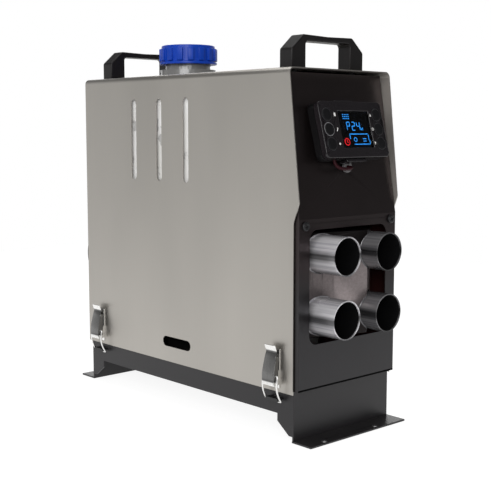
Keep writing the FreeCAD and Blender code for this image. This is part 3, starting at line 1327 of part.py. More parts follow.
def heater_control_box():
    box = Sketched("heater_control_box")
    half = s.unit_width / 2
    span = (s.unit_front, s.unit_front + s.unit_length)
    box.pad("z", shelf_top, shelf_top + s.unit_height, rectangle(both(half), span))
    corners = [(half * side, y) for side in SIDES for y in span]
    box.round(s.face_round, edges_along("z", *corners))
    box.pocket("z", shelf_top, shelf_top + s.unit_height - s.face_wall, rectangle(
        both(half - s.face_wall), (span[0] + s.face_wall, span[1] - s.face_wall),
    ))


# Warm air path: outlet chamber and stubs


def outlet_chamber():
    half = s.chamber_width / 2
    wall = s.chamber_wall
    rear = s.shell_front - s.chamber_gap
    low, high = s.axis_level - s.chamber_height / 2, s.axis_level + s.chamber_height / 2
    left = -s.chamber_ridge + (half + s.ridge_shift) * s.left_slope
    right = -s.chamber_ridge + (half - s.ridge_shift) * s.right_slope
    face = Sketched("outlet_face")
    face.pad("z", low, high, polygon(
        (-half, left), (s.ridge_shift, -s.chamber_ridge), (half, right), (half, right + wall),
        (s.ridge_shift, wall - s.chamber_ridge), (-half, left + wall),
    ))
    mouths = [circle(spot, stub_spigot + s.stub_slack) for spot in stub_places.values()]
    face.pocket("y", -s.chamber_ridge, -s.stub_root + wall, *mouths)
    chamber = Sketched("outlet_chamber")
    chamber.pad("z", low, high, polygon(
        (-half, rear), (half, rear), (half, right + wall), (s.ridge_shift, wall - s.chamber_ridge),
        (-half, left + wall),
    ))
    inside = rectangle(both(half - wall), (-s.chamber_ridge, rear - wall))
    chamber.pocket("z", low + wall, high - wall, inside)
    chamber.pad("y", rear, s.shell_front + s.collar_depth, circle(heater_axis, s.collar_radius))
    bore = circle(heater_axis, s.collar_radius - wall)
    chamber.pocket("y", rear - wall, s.shell_front + s.collar_depth, bore)


def outlet_stubs():
    """Each stub is full size where a hose goes over it, and a little smaller in the chamber's face."""
    for name, spot in stub_places.items():
        free = s.left_free if name.endswith("left") else s.right_free
        step = free - s.stub_end
        stub = Sketched("outlet_stub_" + name)
        stub.pad("y", -s.stub_end, step, circle(spot, s.stub_radius))
        stub.pad("y", step, -s.stub_root, circle(spot, stub_spigot))
        stub.pocket("y", -s.stub_end, -s.stub_root, circle(spot, s.stub_radius - s.stub_wall))


# Heater: shells, heat exchanger, burner, blower, stool and pipes


def heater_shells():
    inner = s.shell_bore
    mouth = s.collar_radius + s.collar_slack
    section = [
        (s.shell_front, mouth), (s.shell_front, s.shell_radius), (s.shell_back, s.shell_radius),
        (s.shell_back, inner), (s.shell_front + s.shell_wall, inner),
        (s.shell_front + s.shell_wall, mouth),
    ]
    upper = Sketched("heater_upper_shell")
    upper.turn("y", heater_axis, section, 180)
    lower = Sketched("heater_lower_shell")
    lower.turn("y", heater_axis, [(place, -radius) for place, radius in section], 180)
    half = s.foot_block_width / 2 + s.seat_gap
    span = (s.foot_block_front - s.seat_gap, s.foot_block_back + s.seat_gap)
    gap = rectangle(both(half), span)
    lower.pocket("z", s.axis_level - s.shell_radius, s.axis_level - s.core_radius, gap)


def heat_exchanger():
    core = Sketched("heat_exchanger")
    inner = s.core_radius - s.core_wall
    core.turn("y", heater_axis, [
        (s.core_front, 0), (s.core_front, s.core_radius), (s.core_back, s.core_radius),
        (s.core_back, inner),
        (s.core_front + s.core_wall, inner), (s.core_front + s.core_wall, 0),
    ])
    step = math.pi / s.fin_count.number
    thick = s.fin_thickness.number / 2
    reach = (s.core_radius.number - 1, s.fin_radius.number)
    # One fin drawn half a step off the top, so that the glow plug passes between two of them
    aim = FreeCAD.Vector(math.sin(step), math.cos(step), 0)
    side = FreeCAD.Vector(math.cos(step), -math.sin(step), 0)
    corners = [aim * out + side * thick * way for out, way in zip((*reach, *reach[::-1]), (-1, -1, 1, 1))]
    fin = core.pad(
        "y", s.core_front + s.core_wall, s.core_back - s.core_wall * 3,
        polygon(*[(corner.x, corner.y) for corner in corners]), shift=heater_axis,
    )
    core.ring(fin, s.fin_count)
    foot = rectangle(both(s.foot_block_width / 2), (s.foot_block_front, s.core_back))
    core.pad("z", s.stool_top, s.axis_level - s.core_radius + s.core_wall / 2, foot)
    shoe = rectangle(both(s.foot_block_width / 2), (s.foot_block_front, s.foot_block_back))
    core.pad("z", s.stool_top, s.axis_level - s.shell_radius + s.shell_wall, shoe)
    pipes = [circle((s.pipe_shift, y), pipe_spigot + s.pipe_slack) for y in pipe_places.values()]
    core.pocket("z", s.stool_top, s.stool_top + s.pipe_seat, *pipes)
    plug = circle((0, s.plug_place), s.plug_radius + s.seat_gap)
    core.pocket("z", s.axis_level + inner - s.core_wall, s.axis_level + s.core_radius, plug)
    tube = Sketched("burner_tube")
    bore = inner - s.seat_gap
    face = s.core_back - s.burner_flange
    tube.turn("y", heater_axis, [
        (s.burner_front, s.burner_radius - s.burner_wall), (s.burner_front, s.burner_radius),
        (face, s.burner_radius), (face, bore), (s.core_back, bore),
        (s.core_back, s.burner_radius - s.burner_wall),
    ])
    plug_foot = s.axis_level + s.burner_radius + s.core_wall
    pin = rod("z", (0, s.plug_place), s.plug_radius, plug_foot, plug_foot + s.plug_length)
    node("glow_plug", pin)


def blower():
    wheel_front = s.core_back + s.run_gap
    housing = Sketched("blower_housing")
    inner = s.housing_radius - s.housing_wall
    floor = s.housing_back - s.housing_wall
    hole = s.shaft_radius + s.seat_gap
    housing.turn("y", heater_axis, [
        (s.core_back, inner), (s.core_back, s.housing_radius), (s.housing_back, s.housing_radius),
        (s.housing_back, hole), (floor, hole), (floor, inner),
    ])
    motor = Sketched("motor")
    bore = s.shaft_radius + s.shaft_slack
    motor.turn("y", heater_axis, [
        (s.housing_back, bore), (s.housing_back, s.motor_radius),
        (s.motor_back, s.motor_radius), (s.motor_back, bore),
    ])
    node("motor_shaft", rod("y", heater_axis, s.shaft_radius, wheel_front, s.shaft_back))
    hub_bore = s.shaft_radius + s.hub_slack
    wheel = Sketched("combustion_wheel")
    back = wheel_front + s.wheel_depth
    plate = back - s.blade_thickness
    wheel.turn("y", heater_axis, [
        (wheel_front, hub_bore), (wheel_front, hub_bore + s.shaft_radius),
        (plate, hub_bore + s.shaft_radius),
        (plate, s.wheel_radius), (back, s.wheel_radius), (back, hub_bore),
    ])
    blade = wheel.pad("y", wheel_front, back, rectangle(
        both(s.blade_thickness / 2), (hub_bore + s.shaft_radius / 2, s.wheel_radius),
    ), shift=heater_axis)
    wheel.ring(blade, s.wheel_blades)


def warm_air_fan():
    """Drawn about the body's own y axis, which is then raised to the heater's."""
    fan = Sketched("warm_air_fan")
    front = s.motor_back + s.run_gap
    hub_bore = s.shaft_radius + s.hub_slack
    fan.turn("y", (0, 0), [
        (front, hub_bore), (front, s.fan_hub), (s.shaft_back, s.fan_hub), (s.shaft_back, hub_bore),
    ])
    lean = s.fan_depth * tangent(s.blade_pitch) / 2
    half = s.blade_thickness
    blade = fan.pad("z", s.fan_hub - s.blade_thickness, s.fan_radius, polygon(
        (-lean - half, front), (-lean + half, front), (lean + half, s.shaft_back),
        (lean - half, s.shaft_back),
    ))
    axis = next(feature for feature in fan.body.Origin.OriginFeatures if feature.Role == "Y_Axis")
    fan.ring(blade, s.fan_blades, axis)
    bind(fan.body, "Placement.Base.z", s.axis_level)


def stool():
    stand = Sketched("heater_stool")
    half = s.stool_width / 2
    span = (s.foot_block_front - s.stool_margin, s.foot_block_back + s.stool_margin)
    under = s.stool_top - s.stool_sheet
    stand.pad("z", under, s.stool_top, rectangle(both(half), span))
    for side in SIDES:
        leg = between(half * side, (half - s.stool_sheet) * side)
        toe = between((half - s.stool_sheet) * side, (half - s.stool_toe) * side)
        stand.pad("x", leg[0], leg[1], rectangle(span, (tray_floor, s.stool_top)))
        stand.pad("x", toe[0], toe[1], rectangle(span, (tray_floor, tray_floor + s.stool_sheet)))
    holes = [circle((s.pipe_shift, y), pipe_spigot + s.seat_gap) for y in pipe_places.values()]
    stand.pocket("z", under, s.stool_top, *holes)
    step = under - s.seat_gap
    top = s.stool_top + s.pipe_seat
    for name, y in pipe_places.items():
        centre = (s.pipe_shift, y)
        tube = fuse(
            rod("z", centre, s.pipe_radius, s.pipe_end, step), rod("z", centre, pipe_spigot, step, top),
        )
        bore = rod("z", centre, s.pipe_radius - s.pipe_wall, s.pipe_end - 1, top + 1)
        node(name, cut(tube, bore))


def intake_guard():
    guard = Sketched("intake_guard")
    inner = s.guard_radius - s.guard_wall
    bar = s.guard_bar
    front = s.shell_back + s.seat_gap
    brim = s.rear_reach + bar
    face = s.guard_end - bar
    guard.turn("y", heater_axis, [
        (front, inner), (front, s.guard_radius), (s.rear_reach, s.guard_radius),
        (s.rear_reach, s.guard_radius + s.guard_brim), (brim, s.guard_radius + s.guard_brim),
        (brim, s.guard_radius), (s.guard_end, s.guard_radius), (s.guard_end, inner),
    ])
    root = (inner + s.guard_radius) / 2
    spoke_outline = rectangle(both(bar / 2), (s.guard_hub / 2, root))
    spoke = guard.pad("y", face, s.guard_end, spoke_outline, shift=heater_axis)
    guard.ring(spoke, s.guard_spokes)
    hub = s.guard_hub
    guard.turn("y", heater_axis, [(face, 0), (face, hub), (s.guard_end, hub), (s.guard_end, 0)])
    pitch = (inner - s.guard_hub) / (s.guard_rings + 1)
    for index in range(int(s.guard_rings.number)):
        middle = s.guard_hub + pitch * (index + 1)
        low, high = middle - bar / 2, middle + bar / 2
        guard.turn("y", heater_axis, [(face, low), (face, high), (s.guard_end, high), (s.guard_end, low)])


def power_gland():
    centre = (s.gland_place, s.gland_level)
    outside = s.rear_reach
    body = rod("y", centre, s.gland_radius, rear_inside - s.screw_grip, outside + s.screw_cap)
    flange = rod("y", centre, s.gland_radius + s.guard_bar, outside, outside + s.screw_cap * 2)
    dome = rod("y", centre, s.gland_radius, outside, outside + s.screw_grip)
    bore = rod("y", centre, s.gland_radius / 2, rear_inside - s.screw_grip - 1, outside + s.screw_grip + 1)
    nut = rod("y", centre, s.gland_radius + s.guard_bar, rear_inside - s.screw_cap * 2, rear_inside)
    node("power_gland", cut(fuse(body, flange, dome, nut), bore))


def build():
    base_tray()
    cover_shell()
    front_panel()
    rear_panel()
    handle("front_handle", -s.front_grip)
    handle("rear_handle", s.rear_grip)
    case_screws()
    latches()
    tank_shelf()
    fuel_tank()
    fuel_cap()
    fuel_pump()
    fuel_lines()
    control_shells()
    control_inside()
    buttons()
    controller_bracket()
    controller_lead()
    heater_control_box()
    outlet_chamber()
    outlet_stubs()
    heater_shells()
    heat_exchanger()
    blower()
    warm_air_fan()
    stool()
    intake_guard()
    power_gland()


def export():
    doc.recompute()
    for thing in doc.Objects:
        if "Invalid" in thing.State or "Error" in thing.State:
            raise RuntimeError("{} failed: {}".format(thing.Label, thing.State))
    for thing in nodes:
        if thing.Shape.isNull() or not thing.Shape.isValid():
            raise RuntimeError(thing.Label + " has no sound shape")
    os.makedirs("parts", exist_ok=True)
    for thing in nodes:
        thing.Shape.exportStep("parts/{}.step".format(thing.Label))
        shape = thing.Shape
        print("{:28s} {:3d} solid {:10.1f} mm3".format(thing.Label, len(shape.Solids), shape.Volume))
    print(len(nodes), "nodes")


build()
export()
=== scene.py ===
import json
import math

import bmesh
import bpy
from mathutils import Matrix, Vector


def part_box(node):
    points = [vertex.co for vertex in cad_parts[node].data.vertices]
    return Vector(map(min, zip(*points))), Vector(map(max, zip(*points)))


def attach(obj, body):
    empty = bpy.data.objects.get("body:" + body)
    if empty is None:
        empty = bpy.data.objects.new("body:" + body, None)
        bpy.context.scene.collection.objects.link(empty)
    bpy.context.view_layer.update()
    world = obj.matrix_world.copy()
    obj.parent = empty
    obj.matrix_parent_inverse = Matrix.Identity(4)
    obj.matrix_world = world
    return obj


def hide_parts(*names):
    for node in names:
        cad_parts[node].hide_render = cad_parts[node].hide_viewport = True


bl_info = {
    "name": "Diesel heater",
    "version": (1, 0, 0),
    "blender": (4, 5, 0),
    "location": "View3D > Sidebar > Diesel heater",
    "description": "Dresses the packed diesel heater with its finishes, fittings and studio",
    "category": "Object",
}

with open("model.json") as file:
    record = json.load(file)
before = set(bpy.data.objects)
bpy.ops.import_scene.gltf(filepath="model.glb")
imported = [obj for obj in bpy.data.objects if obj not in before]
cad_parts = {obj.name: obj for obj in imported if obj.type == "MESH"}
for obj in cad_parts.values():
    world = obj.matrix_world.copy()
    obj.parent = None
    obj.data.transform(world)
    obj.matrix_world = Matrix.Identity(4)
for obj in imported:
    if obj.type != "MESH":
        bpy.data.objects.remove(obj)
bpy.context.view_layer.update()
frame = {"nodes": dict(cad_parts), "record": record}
MM = 0.001
CASE = "case"
CORNERS = {"front_left": (-1, -1), "front_right": (1, -1), "rear_left": (-1, 1), "rear_right": (1, 1)}
ALONG_Y = (math.pi / 2, 0.0, 0.0)

# Millimetres from the middle of the case and the floor, as in the CAD
CASE_HALF = 75.0
OUTLET_COLUMN = 31.8
OUTLET_LEVEL = 157.2
OUTLET_ROW = 32.0


# Selecting and shaping, as by hand


def clear_selection():
    """Leaves edit mode and selects nothing."""
    if bpy.context.object and bpy.context.object.mode != "OBJECT":
        bpy.ops.object.mode_set(mode="OBJECT")
    bpy.ops.object.select_all(action="DESELECT")


def only(piece):
    """Makes a piece the one that operators act on."""
    clear_selection()
    piece.select_set(True)
    bpy.context.view_layer.objects.active = piece


def added(name, primitive, scale=(1.0, 1.0, 1.0), **settings):
    """Adds a primitive, names it, and puts its place and scale in its mesh."""
    clear_selection()
    primitive(**settings)
    piece = bpy.context.object
    piece.scale = scale
    bpy.ops.object.transform_apply(location=True, rotation=True, scale=True)
    piece.name = name
    piece.data.name = name
    return piece


def pick(piece, kind, test):
    """Selects the faces or edges that pass a test, in edit mode."""
    if bpy.context.object != piece or piece.mode != "EDIT":
        only(piece)
        bpy.ops.object.mode_set(mode="EDIT")
    bpy.ops.mesh.select_mode(type=kind)
    bpy.ops.mesh.select_all(action="DESELECT")
    mesh = bmesh.from_edit_mesh(piece.data)
    items = mesh.faces if kind == "FACE" else mesh.edges
    for item in [item for item in items if test(item)]:
        item.select_set(True)
    mesh.select_flush_mode()
    bmesh.update_edit_mesh(piece.data)


def middle(edge):
    """The middle of an edge, in millimetres."""
    first, last = edge.verts
    return (first.co + last.co) / 2 / MM


def extruded(offset):
    """Extrudes what is selected by an offset in metres."""
    bpy.ops.mesh.extrude_region_move(TRANSFORM_OT_translate={"value": offset})


def swollen(height):
    """Extrudes the selected faces along their normals."""
    bpy.ops.mesh.extrude_region_shrink_fatten(TRANSFORM_OT_shrink_fatten={"value": height})


def modify(piece, kind, **settings):
    """Adds a modifier and applies it."""
    only(piece)
    modifier = piece.modifiers.new(kind.lower(), kind)
    for key, value in settings.items():
        setattr(modifier, key, value)
    bpy.ops.object.modifier_apply(modifier=modifier.name)


def smoothed(piece, angle=40):
    """Shades a piece smooth apart from its sharp edges."""
    only(piece)
    bpy.ops.object.shade_smooth_by_angle(angle=math.radians(angle))
    return piece


def soften(piece, width, segments=2, angle=30):
    """Rounds the sharp edges of a piece and smooths its shading."""
    modify(
        piece, "BEVEL", width=width * MM, segments=segments, limit_method="ANGLE",
        angle_limit=math.radians(angle),
    )
    return smoothed(piece)


def mend_normals(piece):
    """Merges doubled corners and turns every face outwards."""
    only(piece)
    bpy.ops.object.mode_set(mode="EDIT")
    bpy.ops.mesh.select_all(action="SELECT")
    bpy.ops.mesh.remove_doubles(threshold=1e-6)
    bpy.ops.mesh.normals_make_consistent(inside=False)
    bpy.ops.object.mode_set(mode="OBJECT")


def copied(piece, name, matrix):
    """A copy of a piece with its own mesh, moved by a matrix."""
    twin = bpy.data.objects.new(name, piece.data.copy())
    twin.data.name = name
    bpy.context.scene.collection.objects.link(twin)
    twin.data.transform(matrix)
    if matrix.determinant() < 0:
        twin.data.flip_normals()
    return twin


def wire_along(name, points, resolution):
    """A smooth curve with control points in metres."""
    clear_selection()
    bpy.ops.curve.primitive_nurbs_path_add()
    wire = bpy.context.object
    wire.name = name
    wire.data.name = name
    wire.location = (0.0, 0.0, 0.0)
    wire.data.splines.clear()
    spline = wire.data.splines.new("NURBS")
    spline.points.add(len(points) - 1)
    for point, spot in zip(spline.points, points):
        point.co = (*spot, 1.0)
    spline.order_u = 3
    spline.use_endpoint_u = True
    spline.resolution_u = resolution
    return wire


def thicken(wire, radius, resolution):
    """Gives a curve its round section."""
    wire.data.bevel_depth = radius
    wire.data.bevel_resolution = resolution
    wire.data.use_fill_caps = True


def joined(name, pieces):
    """Joins pieces into one object."""
    only(pieces[0])
    for piece in pieces[1:]:
        piece.select_set(True)
    bpy.ops.object.join()
    pieces[0].name = name
    pieces[0].data.name = name
    return pieces[0]


def dress(piece, material, body, slot, *replaced):
    """Gives a finished piece its material, its body and the CAD nodes that it stands for."""
    piece.data.materials.clear()
    piece.data.materials.append(material)
    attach(piece, body)
    if replaced:
        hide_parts(*replaced)
    clear_selection()


# Effects that several finishes share


def new_group(name, inputs, outputs):
    """An empty node group with named value sockets."""
    group = bpy.data.node_groups.new(name, "ShaderNodeTree")
    for socket, default in inputs:
        made = group.interface.new_socket(socket, in_out="INPUT", socket_type="NodeSocketFloat")
        made.default_value = default
    for socket in outputs:
        group.interface.new_socket(socket, in_out="OUTPUT", socket_type="NodeSocketFloat")
    return group, group.nodes.new("NodeGroupInput"), group.nodes.new("NodeGroupOutput")


def fill(tree, socket, value):
    """Links a socket to another node's output, or sets it to a number or colour."""
    if isinstance(value, bpy.types.NodeSocket):
        tree.links.new(value, socket)
    else:
        socket.default_value = value


def feed(tree, made, sockets):
    """Fills the named sockets of a node."""
    for name, value in sockets.items():
        fill(tree, made.inputs[name], value)
    return made


def node(tree, kind, sockets=None, **settings):
    """A shader node with its settings and its filled sockets."""
    made = tree.nodes.new("ShaderNode" + kind)
    for key, value in settings.items():
        setattr(made, key, value)
    return feed(tree, made, sockets or {})


def maths(tree, operation, first, second):
    """A Math node whose two values are sockets or numbers."""
    made = node(tree, "Math", operation=operation)
    fill(tree, made.inputs[0], first)
    fill(tree, made.inputs[1], second)
    return made.outputs[0]


def axes(tree, vector):
    """The X, Y and Z of a vector."""
    return node(tree, "SeparateXYZ", {"Vector": vector}).outputs


def scaled_coordinates(tree, scale=(1.0, 1.0, 1.0)):
    """Object coordinates stretched along each axis."""
    place = node(tree, "TexCoord").outputs["Object"]
    return node(tree, "Mapping", {"Vector": place, "Scale": scale}).outputs["Vector"]


def noise(tree, vector, scale, detail=3.0, roughness=0.55):
    """Noise between 0 and 1; the scale is a socket or a number."""
    sockets = {"Vector": vector, "Scale": scale, "Detail": detail, "Roughness": roughness}
    return node(tree, "TexNoise", sockets).outputs["Fac"]


def limits(tree, value, start, end, low, high, kind="SMOOTHSTEP"):
    """Spreads a value from one number to another between two limits."""
    sockets = {"Value": value, "From Min": start, "From Max": end, "To Min": low, "To Max": high}
    return node(tree, "MapRange", sockets, interpolation_type=kind).outputs["Result"]


def lined_group(name, stretch):
    """Fine lines along one axis with slow clouding, for sheet and tube."""
    group, given, result = new_group(name, [("Clouding", 1.0)], ["Lines", "Clouds"])
    lines = noise(group, scaled_coordinates(group, stretch), 1.0, 4.0, 0.65)
    broad = scaled_coordinates(group, (9.0, 9.0, 3.2))
    clouds = noise(group, broad, given.outputs["Clouding"], 2.0, 0.5)
    feed(group, result, {"Lines": lines, "Clouds": clouds})
    return group


def grain_group():
    """Fine even grain and larger uneven patches, for paint and moulded plastic."""
    inputs = [("Grain", 1400.0), ("Patches", 18.0)]
    group, given, result = new_group("Surface grain", inputs, ["Grain", "Patches"])
    flat = scaled_coordinates(group)
    grain = noise(group, flat, given.outputs["Grain"], 2.0)
    patches = noise(group, flat, given.outputs["Patches"], 4.0)
    feed(group, result, {"Grain": grain, "Patches": patches})
    return group


# Metres: faces farther back than the front panel and below its bend
BEHIND_PANEL = -0.1795
BELOW_BEND = 0.22


def inner_group():
    """Masks of the upright faces that look inwards, and of those behind the front panel, which take painted
    shade.
    """
    group, _, result = new_group("Inner faces", [], ["Inside", "Behind"])
    facing = axes(group, node(group, "NewGeometry").outputs["Normal"])
    place = axes(group, node(group, "TexCoord").outputs["Object"])
    inside = maths(group, "LESS_THAN", maths(group, "MULTIPLY", facing["X"], place["X"]), -0.02)
    low = maths(group, "LESS_THAN", place["Z"], BELOW_BEND)
    deep = maths(group, "MULTIPLY", low, maths(group, "GREATER_THAN", place["Y"], BEHIND_PANEL))
    feed(group, result, {"Inside": inside, "Behind": maths(group, "MULTIPLY", inside, deep)})
    return group


def dust_group():
    """A thin uneven layer on faces that look up."""
    group, given, result = new_group("Settled dust", [("Amount", 0.3)], ["Dust"])
    normal = axes(group, node(group, "NewGeometry").outputs["Normal"])
    patches = noise(group, scaled_coordinates(group), 60.0, 5.0)
    facing = maths(group, "MAXIMUM", normal["Z"], 0.0)
    spread = maths(group, "MULTIPLY", facing, patches)
    feed(group, result, {"Dust": maths(group, "MULTIPLY", spread, given.outputs["Amount"])})
    return group


GROUPS = {}


def effect(tree, name, **values):
    """Places a shared effect in a material with its own values."""
    makers = {
        "brushed": lambda: lined_group("Brushed steel", (900.0, 900.0, 9.0)),
        "drawn": lambda: lined_group("Drawn steel", (420.0, 7.0, 420.0)),
        "grain": grain_group, "dust": dust_group, "inner": inner_group,
    }
    if name not in GROUPS:
        GROUPS[name] = makers[name]()
    made = tree.nodes.new("ShaderNodeGroup")
    made.node_tree = GROUPS[name]
    return feed(tree, made, values).outputs


def ramp(tree, factor, low, high):
    """Spreads a mask from one value or colour to another."""
    if isinstance(low, (int, float)):
        sockets = {"Value": factor, "To Min": low, "To Max": high}
        return node(tree, "MapRange", sockets).outputs["Result"]
    made = node(tree, "ValToRGB", {"Fac": factor})
    for stop, place, colour in zip(made.color_ramp.elements, (0.3, 0.7), (low, high)):
        stop.position = place
        stop.color = (*colour, 1.0)
    return made.outputs["Color"]


def multiplied(tree, colour, mask):
    """A colour times a mask."""
    sockets = {"Factor": 1.0, "A": colour, "B": mask}
    return node(tree, "Mix", sockets, data_type="RGBA", blend_type="MULTIPLY").outputs["Result"]


def mixed(tree, factor, first, second):
    """A shader that fades from one to another."""
    made = node(tree, "MixShader", {"Fac": factor})
    fill(tree, made.inputs[1], first)
    fill(tree, made.inputs[2], second)
    return made.outputs[0]


def new_material(name, **constants):
    """A material with one Principled shader and the values that are the same all over."""
    material = bpy.data.materials.new(name)
    material.use_nodes = True
    tree = material.node_tree
    return material, tree, feed(tree, tree.nodes["Principled BSDF"], constants)


def shade(colour, amount):
    """A colour made lighter or darker."""
    return tuple(min(1.0, part * amount) for part in colour)


RELIEF_HEIGHT = 0.0002


def relief(tree, shader, height, strength):
    """Raises a fine relief on a finish."""
    bump = node(tree, "Bump", {"Strength": strength, "Distance": RELIEF_HEIGHT, "Height": height})
    feed(tree, shader, {"Normal": bump.outputs["Normal"]})


# painted shade: the dark red-brown that the cover's inner walls behind the front panel are multiplied by
BACK_PAINTED_SHADE = (0.16, 0.05, 0.05)


def steel_finish(name, colour, rough, lines=0.05, dull=0.0):
    """Brushed sheet steel: upright lines in the gloss, slow clouds in the tone, the inside left dull, and
    painted shade on the inner walls behind the front panel.
    """
    material, tree, shader = new_material(name, Metallic=1.0)
    brushed = effect(tree, "brushed", Clouding=1.0)
    tone = ramp(tree, brushed["Clouds"], shade(colour, 0.95), shade(colour, 1.05))
    if dull:
        inner = effect(tree, "inner")
        feed(tree, shader, {"Metallic": ramp(tree, inner["Inside"], 1.0, 1.0 - dull)})
        # painted shade darkens the inner walls behind the front panel
        tone = multiplied(tree, tone, ramp(tree, inner["Behind"], (1.0, 1.0, 1.0), BACK_PAINTED_SHADE))
    gloss = ramp(tree, brushed["Lines"], rough - lines, rough + lines)
    feed(tree, shader, {"Base Color": tone, "Roughness": gloss})
    relief(tree, shader, brushed["Lines"], 0.02)
    return material


DUST_COLOUR = (0.30, 0.28, 0.26, 1.0)


def coated_finish(
    name, colour, rough, grain=1400.0, bump=0.05, dust=0.0, metal=0.0, spread=0.06, specular=0.5,
):
    """Paint or moulded plastic: fine grain in the relief, patches in the gloss, a little dust on top."""
    material, tree, shader = new_material(name, Metallic=metal)
    surface = effect(tree, "grain", Grain=grain, Patches=18.0)
    tone = ramp(tree, surface["Patches"], shade(colour, 0.88), shade(colour, 1.12))
    if dust:
        film = effect(tree, "dust", Amount=dust)["Dust"]
        sockets = {"Factor": film, "A": tone, "B": DUST_COLOUR}
        tone = node(tree, "Mix", sockets, data_type="RGBA").outputs["Result"]
    gloss = ramp(tree, surface["Patches"], rough - spread, rough + spread)
    feed(tree, shader, {"Base Color": tone, "Roughness": gloss, "Specular IOR Level": specular})
    relief(tree, shader, surface["Grain"], bump)
    return material


def tube_finish(name, colour, rough, metal, contrast, mask, lines="drawn"):
    """Drawn or brushed steel: streaks along its length, and painted light and shade from a mask."""
    material, tree, shader = new_material(name, Metallic=metal)
    drawn = effect(tree, lines, Clouding=3.0)
    tone = ramp(tree, drawn["Lines"], shade(colour, 1.0 - contrast), shade(colour, 1.0 + contrast))
    gloss = ramp(tree, drawn["Clouds"], rough - 0.05, rough + 0.05)
    feed(tree, shader, {"Base Color": multiplied(tree, tone, mask(tree)), "Roughness": gloss})
    return material


# Painted reflections, highlights and shade as grey tones, from the foot of a stub or lever, 0, to its top,
# 1, and where those are in metres
STUB_REACH = 0.021
STUB_REFLECTION_TONES = (
    (0.0, 0.05), (0.10, 0.40), (0.20, 1.0), (0.34, 0.95), (0.44, 0.22), (0.54, 0.12), (0.64, 0.8),
    (0.76, 1.0), (0.90, 1.0), (1.0, 0.3),
)
LEVER_SPAN = (-0.100, -0.058)
LEVER_LIGHT_TONES = (
    (0.0, 1.0), (0.09, 0.9), (0.12, 0.10), (0.18, 0.20), (0.70, 0.24), (0.80, 0.10), (0.84, 0.16),
    (0.87, 1.0), (1.0, 1.0),
)


def from_outlets(tree):
    """How far a spot is right of the case's middle and above the middle of the four outlets, in metres."""
    place = axes(tree, scaled_coordinates(tree))
    return place["X"], maths(tree, "SUBTRACT", place["Z"], OUTLET_LEVEL * MM)


def banded(tree, value, start, end, tones):
    """Grey tones at their places between two limits of a value."""
    bands = node(tree, "ValToRGB", {"Fac": limits(tree, value, start, end, 0.0, 1.0, "LINEAR")})
    stops = bands.color_ramp.elements
    for place, tone in tones[1:-1]:
        stops.new(place).color = (tone, tone, tone, 1.0)
    for edge in (0, -1):
        tone = tones[edge][1]
        stops[edge].color = (tone, tone, tone, 1.0)
    return bands.outputs["Color"]


def stub_painted_reflections(tree):
    """Painted reflections: light and dark bands along the outlet stubs, and painted shade that darkens the
    stubs right of the middle.
    """
    across, above = from_outlets(tree)
    row = maths(tree, "MULTIPLY", maths(tree, "SIGN", above, 0.0), OUTLET_ROW * MM)
    bands = banded(tree, maths(tree, "SUBTRACT", above, row), -STUB_REACH, STUB_REACH, STUB_REFLECTION_TONES)
    return maths(tree, "MULTIPLY", bands, limits(tree, across, -0.01, 0.01, 1.0, 0.24))


def lever_painted_light(tree):
    """Painted light on a latch lever: its tab and knuckles are painted bright as highlights, with painted
    shadow lines above the knuckles and under the tab, and the body between them grey.
    """
    return banded(tree, from_outlets(tree)[1], *LEVER_SPAN, LEVER_LIGHT_TONES)


def chamber_shade(tree):
    """Painted shade: the outlet chamber's face is darker beyond the stubs and towards its left end."""
    across, above = from_outlets(tree)
    beyond = limits(tree, maths(tree, "ABSOLUTE", above, 0.0), 0.012, 0.046, 1.0, 0.06)
    return maths(tree, "MULTIPLY", beyond, limits(tree, across, -0.055, 0.018, 0.5, 1.0))


def tank_finish(name, colour):
    """Milky plastic with smudges of fuel inside, and its top under the cap darkened as painted shade."""
    material = coated_finish(name, colour, 0.35, grain=500.0, bump=0.05, specular=0.9)
    tree = material.node_tree
    shader = tree.nodes["Principled BSDF"]
    clean = shader.inputs["Base Color"].links[0].from_socket
    flat = scaled_coordinates(tree)
    smudges = limits(tree, noise(tree, flat, 62.0, 3.0), 0.56, 0.64, 1.0, 0.6)
    # painted shade: the neck under the cap is darkened
    neck = limits(tree, axes(tree, flat)["Z"], 0.374, 0.377, 1.0, 0.17)
    stained = multiplied(tree, clean, maths(tree, "MULTIPLY", smudges, neck))
    feed(tree, shader, {"Base Color": stained, "Coat Weight": 1.0, "Coat IOR": 1.7, "Coat Roughness": 0.2})
    return material


# Sizes and colours that a user may change


class HeaterFinishes(bpy.types.PropertyGroup):
    """Colours of the heater's finishes."""

    steel: bpy.props.FloatVectorProperty(
        name="Steel", description="Tone of the brushed cover", subtype="COLOR", default=(0.44, 0.42, 0.388),
    )
    panel: bpy.props.FloatVectorProperty(
        name="Panel", description="Paint of the front and rear panels", subtype="COLOR",
        default=(0.0052, 0.0040, 0.0040),
    )
    tray: bpy.props.FloatVectorProperty(
        name="Tray", description="Paint of the base tray", subtype="COLOR", default=(0.015, 0.014, 0.0155),
    )
    handle: bpy.props.FloatVectorProperty(
        name="Handles", description="Plastic of the carry handles", subtype="COLOR",
        default=(0.0062, 0.0050, 0.0052),
    )
    cap: bpy.props.FloatVectorProperty(
        name="Cap", description="Plastic of the fuel cap", subtype="COLOR", default=(0.003, 0.048, 0.42),
    )
    tank: bpy.props.FloatVectorProperty(
        name="Tank", description="Milky plastic of the fuel tank", subtype="COLOR",
        default=(0.96, 0.95, 0.91),
    )
    duct: bpy.props.FloatVectorProperty(
        name="Ducts", description="Polished steel of the outlets", subtype="COLOR",
        default=(0.74, 0.73, 0.79),
    )
    display: bpy.props.FloatVectorProperty(
        name="Display", description="Lit figures of the display", subtype="COLOR",
        default=(0.015, 0.24, 0.72),
    )


